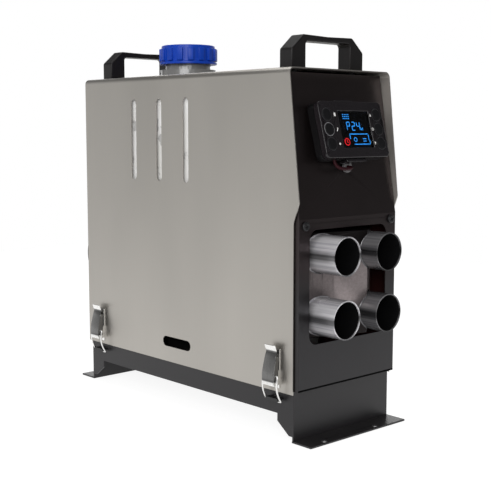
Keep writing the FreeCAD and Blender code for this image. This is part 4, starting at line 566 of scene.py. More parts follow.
class HeaterStudio(bpy.types.PropertyGroup):
    """The camera."""

    lens: bpy.props.FloatProperty(
        name="Lens", description="Focal length in millimetres", default=73.08, min=10.0,
    )
    turn: bpy.props.FloatProperty(
        name="Turn", description="Turn of the camera about the upright", subtype="ANGLE", unit="ROTATION",
        default=math.radians(-42.141),
    )
    dip: bpy.props.FloatProperty(
        name="Dip", description="Dip of the camera below the horizon", subtype="ANGLE", unit="ROTATION",
        default=math.radians(6.606),
    )
    place: bpy.props.FloatVectorProperty(
        name="Place", description="Place of the camera", subtype="TRANSLATION", unit="LENGTH",
        default=(-0.76194, -0.87009, 0.31366),
    )


def finishes():
    """The colours that are set in the sidebar."""
    return bpy.context.scene.heater_finishes


# Finishes of the CAD nodes


LENS = {
    "Base Color": (0.92, 0.94, 0.96, 1.0), "Roughness": 0.04, "Transmission Weight": 1.0, "IOR": 1.02,
    "Coat Weight": 0.25, "Specular IOR Level": 0.3,
}


class HEATER_OT_finishes(bpy.types.Operator):
    """Gives every CAD node its finish"""

    bl_idname = "heater.finishes"
    bl_label = "Finishes"

    def execute(self, context):
        look = finishes()
        made = {
            "cover_steel": steel_finish("brushed_cover", look.steel, 0.40, dull=0.35),
            "black_paint": coated_finish("panel_paint", look.panel, 0.34, bump=0.06, specular=0.42),
            "tray_paint": coated_finish("tray_coat", look.tray, 0.40, bump=0.08, dust=0.04, specular=0.4),
            "handle_black": coated_finish(
                "handle_plastic", look.handle, 0.42, grain=1800.0, bump=0.12, specular=0.35,
            ),
            "cap_blue": coated_finish("cap_plastic", look.cap, 0.34, bump=0.04, specular=0.25),
            "tank_white": tank_finish("tank_plastic", look.tank),
            "latch_steel": steel_finish("plated_latch", (0.80, 0.795, 0.78), 0.16, lines=0.04),
            "hook_black": coated_finish("hook_paint", (0.008, 0.008, 0.009), 0.45),
            "screw_black": coated_finish("screw_plating", (0.03, 0.03, 0.032), 0.35, metal=0.6),
            # painted reflections and shade in bands on the outlet stubs, seams and rims
            "duct_steel": tube_finish("drawn_duct", look.duct, 0.26, 0.45, 0.34, stub_painted_reflections),
            "unit_black": coated_finish(
                "unit_plastic", (0.0105, 0.0088, 0.0105), 0.24, grain=1500.0, bump=0.16,
            ),
            "button_black": coated_finish(
                "button_plastic", (0.004, 0.004, 0.005), 0.40, bump=0.06, specular=0.3,
            ),
            "display_dark": coated_finish(
                "display_glass", (0.0008, 0.001, 0.002), 0.12, bump=0.0, spread=0.02, specular=0.15,
            ),
            "board_green": coated_finish("board_mask", (0.01, 0.10, 0.04), 0.40),
            "rubber_black": coated_finish("rubber", (0.012, 0.012, 0.012), 0.65, grain=900.0, bump=0.15),
            "lead_red": coated_finish("lead_jacket", (0.026, 0.002, 0.005), 0.5, specular=0.2),
            "zinc_steel": coated_finish("zinc_plate", (0.42, 0.42, 0.41), 0.40, metal=1.0),
            "cast_aluminium": coated_finish(
                "cast_metal", (0.50, 0.50, 0.51), 0.55, grain=400.0, bump=0.4, metal=1.0,
            ),
            "inner_black": coated_finish("inner_plastic", (0.014, 0.014, 0.015), 0.50, bump=0.12, dust=0.03),
        }
        # painted reflection colour: the panel's gloss is tinted warm above the outlets and neutral below
        # them
        tree = made["black_paint"].node_tree
        reflection_warmth = limits(tree, from_outlets(tree)[1], -0.05, 0.06, 0.0, 1.0)
        tone = ramp(tree, reflection_warmth, (0.95, 0.95, 1.0), (1.0, 0.80, 0.82))
        feed(tree, tree.nodes["Principled BSDF"], {"Specular Tint": tone})
        made["lens_clear"] = new_material("lens_plastic", **LENS)[0]
        # painted highlights and shadows in bands along the latch levers
        tube_finish("plated_lever", (0.84, 0.835, 0.82), 0.22, 1.0, 0.12, lever_painted_light, "brushed")
        # painted shade on the outlet chamber's face
        chamber = tube_finish("chamber_steel", (0.34, 0.295, 0.295), 0.34, 0.9, 0.14, chamber_shade)
        pipe = made["zinc_steel"]
        own = {
            "burner_tube": pipe, "exhaust_pipe": pipe, "air_pipe": pipe,
            "outlet_face": chamber, "outlet_chamber": chamber,
            # painted shade: the unit's back shell, whose side wall shows, is darker than its front
            "controller_back": coated_finish("unit_back_painted_shade", (0.003, 0.003, 0.0035), 0.45, specular=0.3),
            "lead_grommet": coated_finish("grommet_grey", (0.16, 0.155, 0.16), 0.45),
        }
        slots = {part["node"]: part["material_slot"] for part in frame["record"]["subparts"]}
        for name, piece in frame["nodes"].items():
            piece.data.materials.clear()
            piece.data.materials.append(own.get(name, made[slots[name]]))
        return {"FINISHED"}


# Fuel cap


class HeaterCap(bpy.types.PropertyGroup):
    """Sizes of the fuel cap."""

    drum: bpy.props.FloatProperty(
        name="Drum", description="Radius of the drum", unit="LENGTH", default=0.0318,
    )
    rib: bpy.props.FloatProperty(
        name="Rib", description="Height of a grip rib", unit="LENGTH", default=0.0029,
    )
    rim: bpy.props.FloatProperty(
        name="Rim", description="How far the rim stands out", unit="LENGTH", default=0.0024,
    )
    ribs: bpy.props.IntProperty(name="Ribs", description="Number of grip ribs", default=16, min=3)


# Metres: the rise of the top, the rim and the groove above it, the band above the ribs, the hollow
CAP_DOME = 0.0009
CAP_RIM = 0.0028
CAP_GROOVE = 0.0012
CAP_BAND = 0.0042
CAP_BORE = 0.0275
CAP_HOLLOW = 0.0203
# Steps of the top from its edge inwards: their widths, and their shares of the rise
CAP_STEPS = ((0.0012, 0.6), (0.008, 0.3), (0.010, 0.1))


class HEATER_OT_cap(bpy.types.Operator):
    """Moulds the fuel cap with its grip ribs, its rim and its hollow"""

    bl_idname = "heater.cap"
    bl_label = "Fuel cap"

    def execute(self, context):
        size = context.scene.heater_cap
        low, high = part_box("fuel_cap")
        y = (low.y + high.y) / 2
        depth = high.z - low.z - CAP_DOME
        cap = added(
            "fuel_cap_moulded", bpy.ops.mesh.primitive_cylinder_add, vertices=size.ribs * 12,
            radius=size.drum, depth=depth, location=(0.0, y, low.z + depth / 2),
        )
        rim_top = low.z + CAP_RIM
        rib_top = high.z - CAP_BAND
        for level in (rim_top, rim_top + CAP_GROOVE, rib_top):
            pick(cap, "FACE", lambda face: True)
            bpy.ops.mesh.bisect(plane_co=(0.0, y, level), plane_no=(0.0, 0.0, 1.0))
        step = 2 * math.pi / size.ribs

        def on_rib(face):
            spot = face.calc_center_median()
            if abs(face.normal.z) > 0.5 or not rim_top + 0.001 < spot.z < rib_top:
                return False
            share = math.atan2(spot.y - y, spot.x) / step % 1.0
            return 0.25 < share < 0.75

        pick(cap, "FACE", on_rib)
        swollen(size.rib)
        pick(cap, "FACE", lambda face: abs(face.normal.z) < 0.5 and face.calc_center_median().z < rim_top)
        swollen(size.rim)
        pick(cap, "FACE", lambda face: face.normal.z > 0.9 and face.calc_center_median().z > high.z - 0.002)
        for width, share in CAP_STEPS:
            bpy.ops.mesh.inset(thickness=width)
            bpy.ops.transform.translate(value=(0.0, 0.0, CAP_DOME * share))
        pick(cap, "FACE", lambda face: face.normal.z < -0.9 and len(face.verts) > 20)
        bpy.ops.mesh.inset(thickness=size.drum - CAP_BORE)
        extruded((0.0, 0.0, CAP_HOLLOW))
        soften(cap, 0.55, 3, 35)
        dress(cap, bpy.data.materials["cap_plastic"], "cap", "cap_blue", "fuel_cap")
        return {"FINISHED"}


# Latches


class HeaterLatch(bpy.types.PropertyGroup):
    """Sizes of the latches."""

    width: bpy.props.FloatProperty(
        name="Width", description="Width of a lever", unit="LENGTH", default=0.0156,
    )
    sheet: bpy.props.FloatProperty(
        name="Sheet", description="Sheet of a lever", unit="LENGTH", default=0.001,
    )
    wire: bpy.props.FloatProperty(
        name="Wire", description="Radius of a bail's wire", unit="LENGTH", default=0.0011,
    )


# Millimetres: the front left latch, with places as distances out from the cover and up from the floor
LATCH_Y = -156.0
LEVER_PATH = [
    (10.5, 57.9), (10.9, 60.5), (11.0, 64.0), (10.9, 68.0), (10.3, 72.5), (9.2, 77.5), (7.8, 82.5),
    (6.4, 87.5), (5.4, 90.6), (5.2, 92.0), (5.7, 93.4), (6.7, 96.0), (7.6, 98.8),
]
CHEEK_TOP = 86.0
CHEEK_LINE = 3.6
PIVOT = (6.0, 61.0)
PIN_REACH = 8.8
KNUCKLE = (8.9, 59.4)
KNUCKLE_ASIDE = 7.75
BAIL_HALF = 10.3
BAIL_EYE = 7.2
BAIL_FOOT = (2.0, 40.7)
BAIL_CORNER = 2.2
BAIL_ARM = [(7.2, 67.9), (7.0, 66.0), (8.2, 60.0), (7.6, 52.0), (4.6, 45.0), (2.1, 41.4)]


def beside_case(out, y, z):
    """A place on the left side of the case, out from the cover, in metres."""
    return Vector((-CASE_HALF - out, y, z)) * MM


class HEATER_OT_latches(bpy.types.Operator):
    """Forms the four latch levers, their pins and their wire bails"""

    bl_idname = "heater.latches"
    bl_label = "Latches"

    def lever(self, size):
        """One lever of bent sheet with turned-in cheeks."""
        spots = [beside_case(out, LATCH_Y, z) for out, z in LEVER_PATH]
        run = spots[1] - spots[0]
        lever = added(
            "latch_lever_formed", bpy.ops.mesh.primitive_plane_add, (run.length, size.width, 1.0), size=1.0,
            rotation=(0.0, -math.atan2(run.z, run.x), 0.0), location=(spots[0] + spots[1]) / 2,
        )
        pick(lever, "EDGE", lambda edge: (middle(edge) * MM - spots[1]).length < 1e-5)
        for before, after in zip(spots[1:], spots[2:]):
            extruded(after - before)
        half = size.width / MM / 2

        def cheek(edge):
            spot = middle(edge)
            return (
                abs(abs(spot.y - LATCH_Y) - half) < 0.01 and spot.z < CHEEK_TOP and len(edge.link_faces) == 1
            )

        pick(lever, "EDGE", cheek)
        extruded((0.003, 0.0, 0.0))
        inner_line = beside_case(CHEEK_LINE, LATCH_Y, 70.0)
        bpy.ops.transform.resize(value=(0.0, 1.0, 1.0), center_override=inner_line)
        mend_normals(lever)
        modify(lever, "SOLIDIFY", thickness=size.sheet, offset=0.0)
        return soften(lever, 0.35, 2, 40)

    def rod(self, name, vertices, radius, length, ring, place):
        """A rod along y whose ends are inset by a ring, left in edit mode, in millimetres."""
        rod = added(
            name, bpy.ops.mesh.primitive_cylinder_add, vertices=vertices, radius=radius * MM,
            depth=length * MM, rotation=ALONG_Y, location=place,
        )
        pick(rod, "FACE", lambda face: abs(face.normal.y) > 0.9)
        bpy.ops.mesh.inset(thickness=ring * MM, use_individual=True)
        return rod

    def pin(self):
        """One pin with eased ends across a latch."""
        place = beside_case(PIVOT[0], LATCH_Y, PIVOT[1])
        return soften(self.rod("latch_pin", 24, 1.5, 2 * PIN_REACH, 0.525, place), 0.3, 3)

    def knuckles(self):
        """The two round ends of the lever's cheeks, outside the plate's ears."""
        rolls = []
        for side in (-1, 1):
            place = beside_case(KNUCKLE[0], LATCH_Y + side * KNUCKLE_ASIDE, KNUCKLE[1])
            roll = self.rod("roll", 32, 2.0, 1.5, 0.9, place)
            swollen(-0.0004)
            rolls.append(soften(roll, 0.3, 2, 40))
        return rolls

    def bail(self, size):
        """One wire bail with bowed arms."""
        (eye_out, eye_z), (foot_out, foot_z) = BAIL_ARM[0], BAIL_FOOT
        left = [beside_case(eye_out, LATCH_Y - BAIL_EYE, eye_z)]
        left += [beside_case(out, LATCH_Y - BAIL_HALF, z) for out, z in (*BAIL_ARM, BAIL_FOOT)]
        left.append(beside_case(foot_out, LATCH_Y - BAIL_HALF + BAIL_CORNER, foot_z))
        right = [Vector((p.x, 2 * LATCH_Y * MM - p.y, p.z)) for p in reversed(left)]
        wire = wire_along("latch_bail_formed", left + right, 6)
        thicken(wire, size.wire, 4)
        only(wire)
        bpy.ops.object.convert(target="MESH")
        wire = bpy.context.object
        mend_normals(wire)
        return smoothed(wire, 50)

    def execute(self, context):
        size = context.scene.heater_latch
        steel = bpy.data.materials["plated_latch"]
        sheet = bpy.data.materials["plated_lever"]
        rolls = self.knuckles()
        lever = joined("latch_lever_formed", [self.lever(size), *rolls])
        bail = self.bail(size)
        pin = self.pin()
        pins = []
        for spot, (side, end) in CORNERS.items():
            place = Matrix.Diagonal((-side, -end, 1.0, 1.0))
            made = copied(lever, "latch_lever_formed_" + spot, place)
            dress(made, sheet, "lever_" + spot, "latch_steel", "latch_lever_" + spot)
            made = copied(bail, "latch_bail_formed_" + spot, place)
            dress(made, steel, "bail_" + spot, "latch_steel", "latch_bail_" + spot)
            pins.append(copied(pin, "latch_pin_" + spot, place))
        dress(joined("latch_pins_domed", pins), steel, CASE, "latch_steel", "latch_pins")
        for model in (lever, bail, pin):
            bpy.data.objects.remove(model)
        return {"FINISHED"}


# Screws, in metres


HEAD_RADIUS = 0.0046
HEAD_HEIGHT = 0.0024
SHANK_INSET = 0.0022
SHANK_LENGTH = 0.009
RECESS = (0.0046, 0.0009, 0.0022)
# Places of one side's screws in millimetres, and their turns about x in degrees
SCREWS = (
    (64.5, -187.0, 219.5, 90), (64.5, 181.5, 219.5, -90), (48.0, -173.0, 54.7, 0), (48.0, 173.0, 54.7, 0),
    (43.15, -146.6, 373.8, 180), (43.15, 166.8, 373.8, 180),
)


class HEATER_OT_screws(bpy.types.Operator):
    """Turns the case screws with cross recesses in their heads"""

    bl_idname = "heater.screws"
    bl_label = "Screws"

    def screw(self):
        """One screw standing on the origin, its shank pointing down."""
        head = added(
            "case_screw", bpy.ops.mesh.primitive_cylinder_add, vertices=40, radius=HEAD_RADIUS,
            depth=HEAD_HEIGHT, location=(0.0, 0.0, HEAD_HEIGHT / 2),
        )
        pick(head, "FACE", lambda face: face.normal.z > 0.9)
        bpy.ops.mesh.bevel(offset=0.0011, segments=4)
        pick(head, "FACE", lambda face: face.normal.z < -0.9)
        bpy.ops.mesh.inset(thickness=SHANK_INSET)
        extruded((0.0, 0.0, -SHANK_LENGTH))
        for turn in (0.0, math.pi / 2):
            blade = added(
                "recess", bpy.ops.mesh.primitive_cube_add, RECESS, size=1.0, rotation=(0.0, 0.0, turn),
                location=(0.0, 0.0, HEAD_HEIGHT),
            )
            modify(head, "BOOLEAN", operation="DIFFERENCE", object=blade)
            bpy.data.objects.remove(blade)
        return soften(head, 0.12, 2, 35)

    def execute(self, context):
        model = self.screw()
        spots = [(side * x, y, z, turn) for side in (-1, 1) for x, y, z, turn in SCREWS]
        screws = []
        for index, (x, y, z, turn) in enumerate(spots):
            aim = Matrix.Rotation(math.radians(turn), 4, "X")
            spin = Matrix.Rotation(0.5 + 1.3 * index, 4, "Z")
            place = Matrix.Translation(Vector((x, y, z)) * MM) @ aim @ spin
            screws.append(copied(model, "case_screw_{}".format(index), place))
        bpy.data.objects.remove(model)
        screws = joined("case_screws_turned", screws)
        dress(screws, bpy.data.materials["screw_plating"], CASE, "screw_black", "case_screws")
        return {"FINISHED"}


# Control unit, in millimetres: signs are drawn upright about the middle of its face, then leaned back


UNIT_MIDDLE = Vector((0.0, -192.2, 314.6)) * MM
UNIT_PLACE = Matrix.Translation(UNIT_MIDDLE) @ Matrix.Rotation(math.radians(-15.5), 4, "X")
SCREEN_SHIFT = 3.8
GLASS = 1.94
SIGN_HEIGHT = 0.12
SEGMENTS = {
    "top": (0.0, 1.0, 0), "middle": (0.0, 0.0, 0), "bottom": (0.0, -1.0, 0), "upper_left": (-0.5, 0.5, 1),
    "upper_right": (0.5, 0.5, 1), "lower_left": (-0.5, -0.5, 1), "lower_right": (0.5, -0.5, 1),
}
FIGURES = {
    "2": ("top", "upper_right", "middle", "lower_left", "bottom"),
    "4": ("upper_left", "upper_right", "middle", "lower_right"),
    "P": ("top", "upper_left", "upper_right", "middle", "lower_left"),
}
FIGURE_SIZE = 4.4
FIGURE_LEVEL = 3.6
FIGURE_PLACES = (("P", -10.0), ("2", -2.6), ("4", 4.8))
# Bars: their places, lengths and widths in millimetres, and whether they stand upright
UNIT_BARS = ((9.2, 0.4, 2.6, 0.7, 1), (10.8, 0.8, 3.4, 0.7, 1))
CALENDAR_BARS = [
    (-15.5 + column * 2.6, 15.6 - row * 2.1, 1.9, 1.0, 0) for row in range(3) for column in range(4)
]
CABIN_BARS = (
    (3.0, -4.6, 28.0, 0.9, 0), (6.0, -15.2, 24.0, 0.9, 0), (-10.4, -7.5, 5.0, 0.9, 1),
    (17.4, -8.0, 6.0, 0.9, 1), (18.6, -13.0, 4.4, 0.9, 1), (11.0, -9.6, 5.4, 0.8, 0),
    (11.0, -12.0, 5.4, 0.8, 0),
)
HEAT_BARS = ((-15.8, -11.8, 3.2, 0.9, 1), (-15.0, -13.0, 2.4, 0.9, 0))
PRINTS = {
    "up": [(26.8, 13.4), (29.2, 13.4), (28.0, 16.6)],
    "down": [(26.8, -13.4), (28.0, -16.6), (29.2, -13.4)],
    "page": [(-26.6, 13.4), (-24.2, 13.4), (-24.2, 16.8), (-26.6, 16.8)],
    "spanner": [(-26.6, -1.8), (-25.7, -2.4), (-23.8, 1.2), (-24.7, 1.8)],
}
BUTTON_COLUMN = 37.0
BUTTON_ROW = 15.0


def lit_finish(name, colour, strength):
    """A lit sign of the display, slightly uneven in its tone."""
    material, tree, shader = new_material(name, Roughness=0.4)
    surface = effect(tree, "grain", Grain=900.0, Patches=260.0)
    tone = ramp(tree, surface["Patches"], shade(colour, 0.75), shade(colour, 1.15))
    feed(tree, shader, {"Base Color": tone, "Emission Color": tone, "Emission Strength": strength})
    return material


class HEATER_OT_display(bpy.types.Operator):
    """Lights the display's figures and prints the signs beside the buttons"""

    bl_idname = "heater.display"
    bl_label = "Display"

    def plate(self, name, corners, depth=0.0):
        """A flat sign with straight sides, on the face at a depth."""
        sign = added(
            name, bpy.ops.mesh.primitive_circle_add, vertices=len(corners), radius=MM, fill_type="NGON",
        )
        for vertex, (x, z) in zip(sign.data.vertices, corners):
            vertex.co = Vector((x, depth, z)) * MM
        mend_normals(sign)
        pick(sign, "FACE", lambda face: True)
        extruded((0.0, -SIGN_HEIGHT * MM, 0.0))
        mend_normals(sign)
        return sign

    def bar(self, x, z, length, width, upright):
        """A straight segment with pointed ends, behind the window."""
        half, thick = length / 2, width / 2
        corners = [
            (-half, 0), (-half + thick, thick), (half - thick, thick), (half, 0), (half - thick, -thick),
            (-half + thick, -thick),
        ]
        if upright:
            corners = [(-b, a) for a, b in corners]
        return self.plate("bar", [(x + a, z + b) for a, b in corners], GLASS)

    def ring(self, x, z, outer, inner, depth=0.0, parts=28):
        """A round sign with a hole."""
        sign = added(
            "ring", bpy.ops.mesh.primitive_circle_add, vertices=parts, radius=outer * MM, fill_type="NGON",
            rotation=ALONG_Y,
        )
        sign.data.transform(Matrix.Translation(Vector((x, depth, z)) * MM))
        pick(sign, "FACE", lambda face: True)
        bpy.ops.mesh.inset(thickness=(outer - inner) * MM)
        bpy.ops.mesh.delete(type="FACE")
        bpy.ops.mesh.select_all(action="SELECT")
        extruded((0.0, -SIGN_HEIGHT * MM, 0.0))
        mend_normals(sign)
        return sign

    def figure(self, sign, x):
        """A seven segment figure."""
        size = FIGURE_SIZE
        bars = []
        for name in FIGURES[sign]:
            across, up, upright = SEGMENTS[name]
            spot = (x + across * size, FIGURE_LEVEL + up * size * 0.95)
            bars.append(self.bar(*spot, size * 0.92, size * 0.2, upright))
        return bars

    def finish(self, name, signs, material, slot, shift=0.0):
        """Joins signs into one piece and leans it back with the unit."""
        piece = joined(name, signs)
        piece.data.transform(UNIT_PLACE @ Matrix.Translation((shift * MM, 0.0, 0.0)))
        dress(piece, material, CASE, slot)

    def execute(self, context):
        blue = lit_finish("display_blue", finishes().display, 1.0)
        red = lit_finish("display_red", (0.55, 0.006, 0.01), 0.9)
        white = coated_finish("print_white", (0.78, 0.78, 0.76), 0.5, bump=0.0)
        # the figures and their unit, a small calendar at the top, a cabin with its fan below
        signs = [bar for sign, x in FIGURE_PLACES for bar in self.figure(sign, x)]
        signs += [self.bar(*place) for place in (*UNIT_BARS, *CALENDAR_BARS, *CABIN_BARS)]
        signs.append(self.ring(-3.0, -10.4, 2.4, 1.7, GLASS))
        self.finish("display_figures", signs, blue, "display_dark", SCREEN_SHIFT)
        signs = [self.ring(-15.8, -12.6, 4.0, 2.9, GLASS), *[self.bar(*place) for place in HEAT_BARS]]
        self.finish("display_heat_sign", signs, red, "display_dark", SCREEN_SHIFT)
        signs = [self.plate(name, corners) for name, corners in PRINTS.items()]
        signs += [self.ring(28.0, 0.0, 1.5, 0.9), self.ring(-25.4, -15.0, 1.2, 0.1)]
        self.finish("button_signs", signs, white, "unit_black")
        rings = {
            (side, row): self.ring(BUTTON_COLUMN * side, BUTTON_ROW * row, 7.0, 6.35, parts=48)
            for side in (-1, 1) for row in (-1, 0, 1)
        }
        # painted highlight: the middle collar on the left is lighter than the others
        bright = coated_finish("collar_painted_highlight", (0.20, 0.20, 0.21), 0.35)
        self.finish("button_collar_painted_highlight", [rings.pop((-1, 0))], bright, "unit_black")
        dark = coated_finish("collar_dark", (0.025, 0.025, 0.028), 0.35)
        self.finish("button_collars", list(rings.values()), dark, "unit_black")
        return {"FINISHED"}


# A dark strip of painted shade along the foot of the front panel, in millimetres


SHADE_STRIP_THICK = 0.8
SHADE_STRIP_TALL = 1.9


class HEATER_OT_panel_shade(bpy.types.Operator):
    """Lays a dark strip of painted shade along the foot of the front panel"""

    bl_idname = "heater.edging"
    bl_label = "Panel shade"

    def execute(self, context):
        corners = [Vector(corner) for corner in frame["nodes"]["front_panel"].bound_box]
        low, high = min(corners, key=sum), max(corners, key=sum)
        thick, tall = SHADE_STRIP_THICK * MM, SHADE_STRIP_TALL * MM
        strip = added(
            "panel_foot_shade", bpy.ops.mesh.primitive_cube_add, (high.x - low.x, thick, tall), size=1.0,
            location=((low.x + high.x) / 2, low.y + thick / 4, low.z + tall / 2),
        )
        soften(strip, 0.25, 3, 40)
        # painted shade: a near-black, nearly matt strip where the panel's foot meets the tray
        black = coated_finish("panel_shade_black", (0.0015, 0.0015, 0.0017), 0.8, specular=0.05)
        dress(strip, black, CASE, "rubber_black")
        return {"FINISHED"}


# Outlets, in millimetres: the chamber's bent face, then the beads of the stubs and the dark sleeves of
# painted shade inside them


FACE_RIDGE = (20.0, -194.0)
FACE_FALL = (0.3, 0.73)
SEAM = (20.3, 0.7)
RIM = (19.4, 0.62)
RIM_Y = -213.0
SLEEVE_RADIUS = 18.6
SLEEVE_LENGTH = 44.0
SLEEVE_SHEET = 0.3
SLEEVE_Y = -190.6


def face_of_chamber(x):
    """Place of the outlet chamber's face along y: it falls away from its ridge to both sides."""
    across = x - FACE_RIDGE[0]
    return FACE_RIDGE[1] + (FACE_FALL[1] * across if across > 0 else -FACE_FALL[0] * across)


class HEATER_OT_outlets(bpy.types.Operator):
    """Rolls the rims of the outlet stubs, lays their weld seams and sets a dark sleeve of painted shade in
    each bore
    """

    bl_idname = "heater.outlets"
    bl_label = "Outlets"

    def hoop(self, name, radius, thickness, place):
        """A round bead about an axis along y."""
        hoop = added(
            name, bpy.ops.mesh.primitive_torus_add, major_segments=72, minor_segments=8,
            major_radius=radius * MM, minor_radius=thickness * MM, rotation=ALONG_Y,
            location=Vector(place) * MM,
        )
        bpy.ops.object.shade_smooth()
        return hoop

    def shade_sleeve(self, x, z):
        """A dark sleeve inside a stub: painted shade in its bore."""
        sleeve = added(
            "shade_sleeve", bpy.ops.mesh.primitive_cylinder_add, vertices=72, radius=SLEEVE_RADIUS * MM,
            depth=SLEEVE_LENGTH * MM, end_fill_type="NOTHING", rotation=ALONG_Y,
            location=Vector((x, SLEEVE_Y, z)) * MM,
        )
        modify(sleeve, "SOLIDIFY", thickness=SLEEVE_SHEET * MM, offset=-1.0)
        return smoothed(sleeve)

    def execute(self, context):
        steel = bpy.data.materials["drawn_duct"]
        # painted shade: a near-black sleeve inside each stub's bore
        bore_shade = coated_finish("outlet_painted_shade", (0.0025, 0.0025, 0.0028), 0.8, specular=0.1)
        seams, rims, shade_sleeves = [], [], []
        for side in (-1, 1):
            for up in (-1, 1):
                x, z = OUTLET_COLUMN * side, OUTLET_LEVEL + OUTLET_ROW * up
                seam = self.hoop("seam", *SEAM, (x, 0.0, z))
                for corner in seam.data.vertices:
                    corner.co.y += face_of_chamber(corner.co.x / MM) * MM
                seams.append(seam)
                rims.append(self.hoop("rim", *RIM, (x, RIM_Y, z)))
                shade_sleeves.append(self.shade_sleeve(x, z))
        dress(joined("outlet_seams", seams), steel, CASE, "duct_steel")
        dress(joined("outlet_rims", rims), steel, CASE, "duct_steel")
        dress(joined("outlet_shade_sleeves", shade_sleeves), bore_shade, CASE, "inner_black")
        return {"FINISHED"}


# Leads and hoses, in millimetres


CONTROL_LEAD = (
    (-27.0, -188.966, 285.525), (-27.0, -190.569, 279.743), (-21.0, -191.666, 275.525),
    (-9.0, -192.209, 274.4), (-1.0, -190.509, 275.4), (2.0, -184.809, 276.2), (2.0, -171.509, 276.2),
    (2.3, -164.809, 274.2), (2.8, -155.509, 267.2), (3.0, -149.009, 259.0), (3.0, -149.009, 250.0),
)
SUCTION_HOSE = (
    (50.0, 109.0, 226.3), (50.0, 109.0, 205.3), (67.5, 109.0, 172.3), (67.5, 108.0, 120.2),
    (63.5, 105.0, 77.0), (57.0, 99.0, 57.0), (54.0, 84.0, 50.0), (54.0, 72.0, 50.0),
)
DELIVERY_HOSE = (
    (54.0, -60.0, 50.0), (54.0, -75.0, 50.0), (46.0, -88.0, 58.0), (30.0, -90.0, 70.0),
    (17.0, -78.0, 79.0), (9.0, -62.0, 84.5), (8.0, -48.0, 85.5), (8.0, -34.0, 85.5),
)
LEAD_RADIUS = 1.7
HOSE_RADIUS = 2.5


class HEATER_OT_leads(bpy.types.Operator):
    """Lays the control unit's lead and the two fuel hoses"""

    bl_idname = "heater.leads"
    bl_label = "Leads and hoses"

    def lay(self, name, route, radius, material, slot, *replaced):
        """One lead or hose along its route."""
        points = [Vector(spot) * MM for spot in route]
        lead = wire_along(name, points, 12)
        bare = bpy.data.meshes.new_from_object(lead)
        bpy.data.meshes.remove(bare)
        thicken(lead, radius * MM, 5)
        dress(lead, material, CASE, slot, *replaced)

    def execute(self, context):
        jacket, rubber = bpy.data.materials["lead_jacket"], bpy.data.materials["rubber"]
        self.lay("control_lead", CONTROL_LEAD, LEAD_RADIUS, jacket, "lead_red", "controller_lead")
        self.lay("suction_hose", SUCTION_HOSE, HOSE_RADIUS, rubber, "rubber_black", "fuel_lines")
        self.lay("delivery_hose", DELIVERY_HOSE, HOSE_RADIUS, rubber, "rubber_black")
        return {"FINISHED"}


# Edges of the CAD nodes that show, by their widths in millimetres


EASED = {
    0.25: ("latch_plates",),
    0.3: ("outlet_face", "catch_hooks", "front_handle", "rear_handle"),
    0.35: ("cover_shell", "front_panel", "rear_panel"),
    0.4: ("power_gland",),
    0.5: ("base_tray", "outlet_chamber", "fuel_tank", "intake_guard"),
    0.6: ("controller_back", "controller_bracket"),
    1.2: ("controller_front",),
}


class HEATER_OT_edges(bpy.types.Operator):
    """Eases the sharp edges of the sheet metal and plastic that show"""

    bl_idname = "heater.edges"
    bl_label = "Eased edges"

    def execute(self, context):
        for name, width in [(name, width) for width, names in EASED.items() for name in names]:
            piece = frame["nodes"][name]
            weld = piece.modifiers.new("merge", "WELD")
            weld.merge_threshold = 1e-6
            ease = piece.modifiers.new("ease", "BEVEL")
            ease.width = width * MM
            ease.segments = 2
            ease.limit_method = "ANGLE"
            ease.angle_limit = math.radians(50)
            ease.harden_normals = True
        return {"FINISHED"}


# Studio: the lamps' places, aims and sizes in metres, and their power in watts


LAMPS = {
    "key_softbox": ((-1.9, -0.9, 1.5), (0.0, 0.0, 0.2), 1.4, 20.0),
    "front_softbox": ((-1.35, -1.5, 0.7), (0.0, -0.1, 0.2), 0.7, 13.0),
    "top_softbox": ((0.2, 0.3, 2.2), (0.0, 0.0, 0.3), 1.6, 16.0),
    "back_softbox": ((1.6, 1.8, 1.2), (0.0, 0.1, 0.2), 1.4, 14.0),
}
ROOM_LOW = (0.62, 0.61, 0.60, 1.0)
ROOM_HIGH = (0.26, 0.25, 0.25, 1.0)
ROOM_STRENGTH = 0.9
PAPER = (0.82, 0.82, 0.82, 1.0)
PAPER_GLOW = 1.28
PAPER_VEIL = 0.7


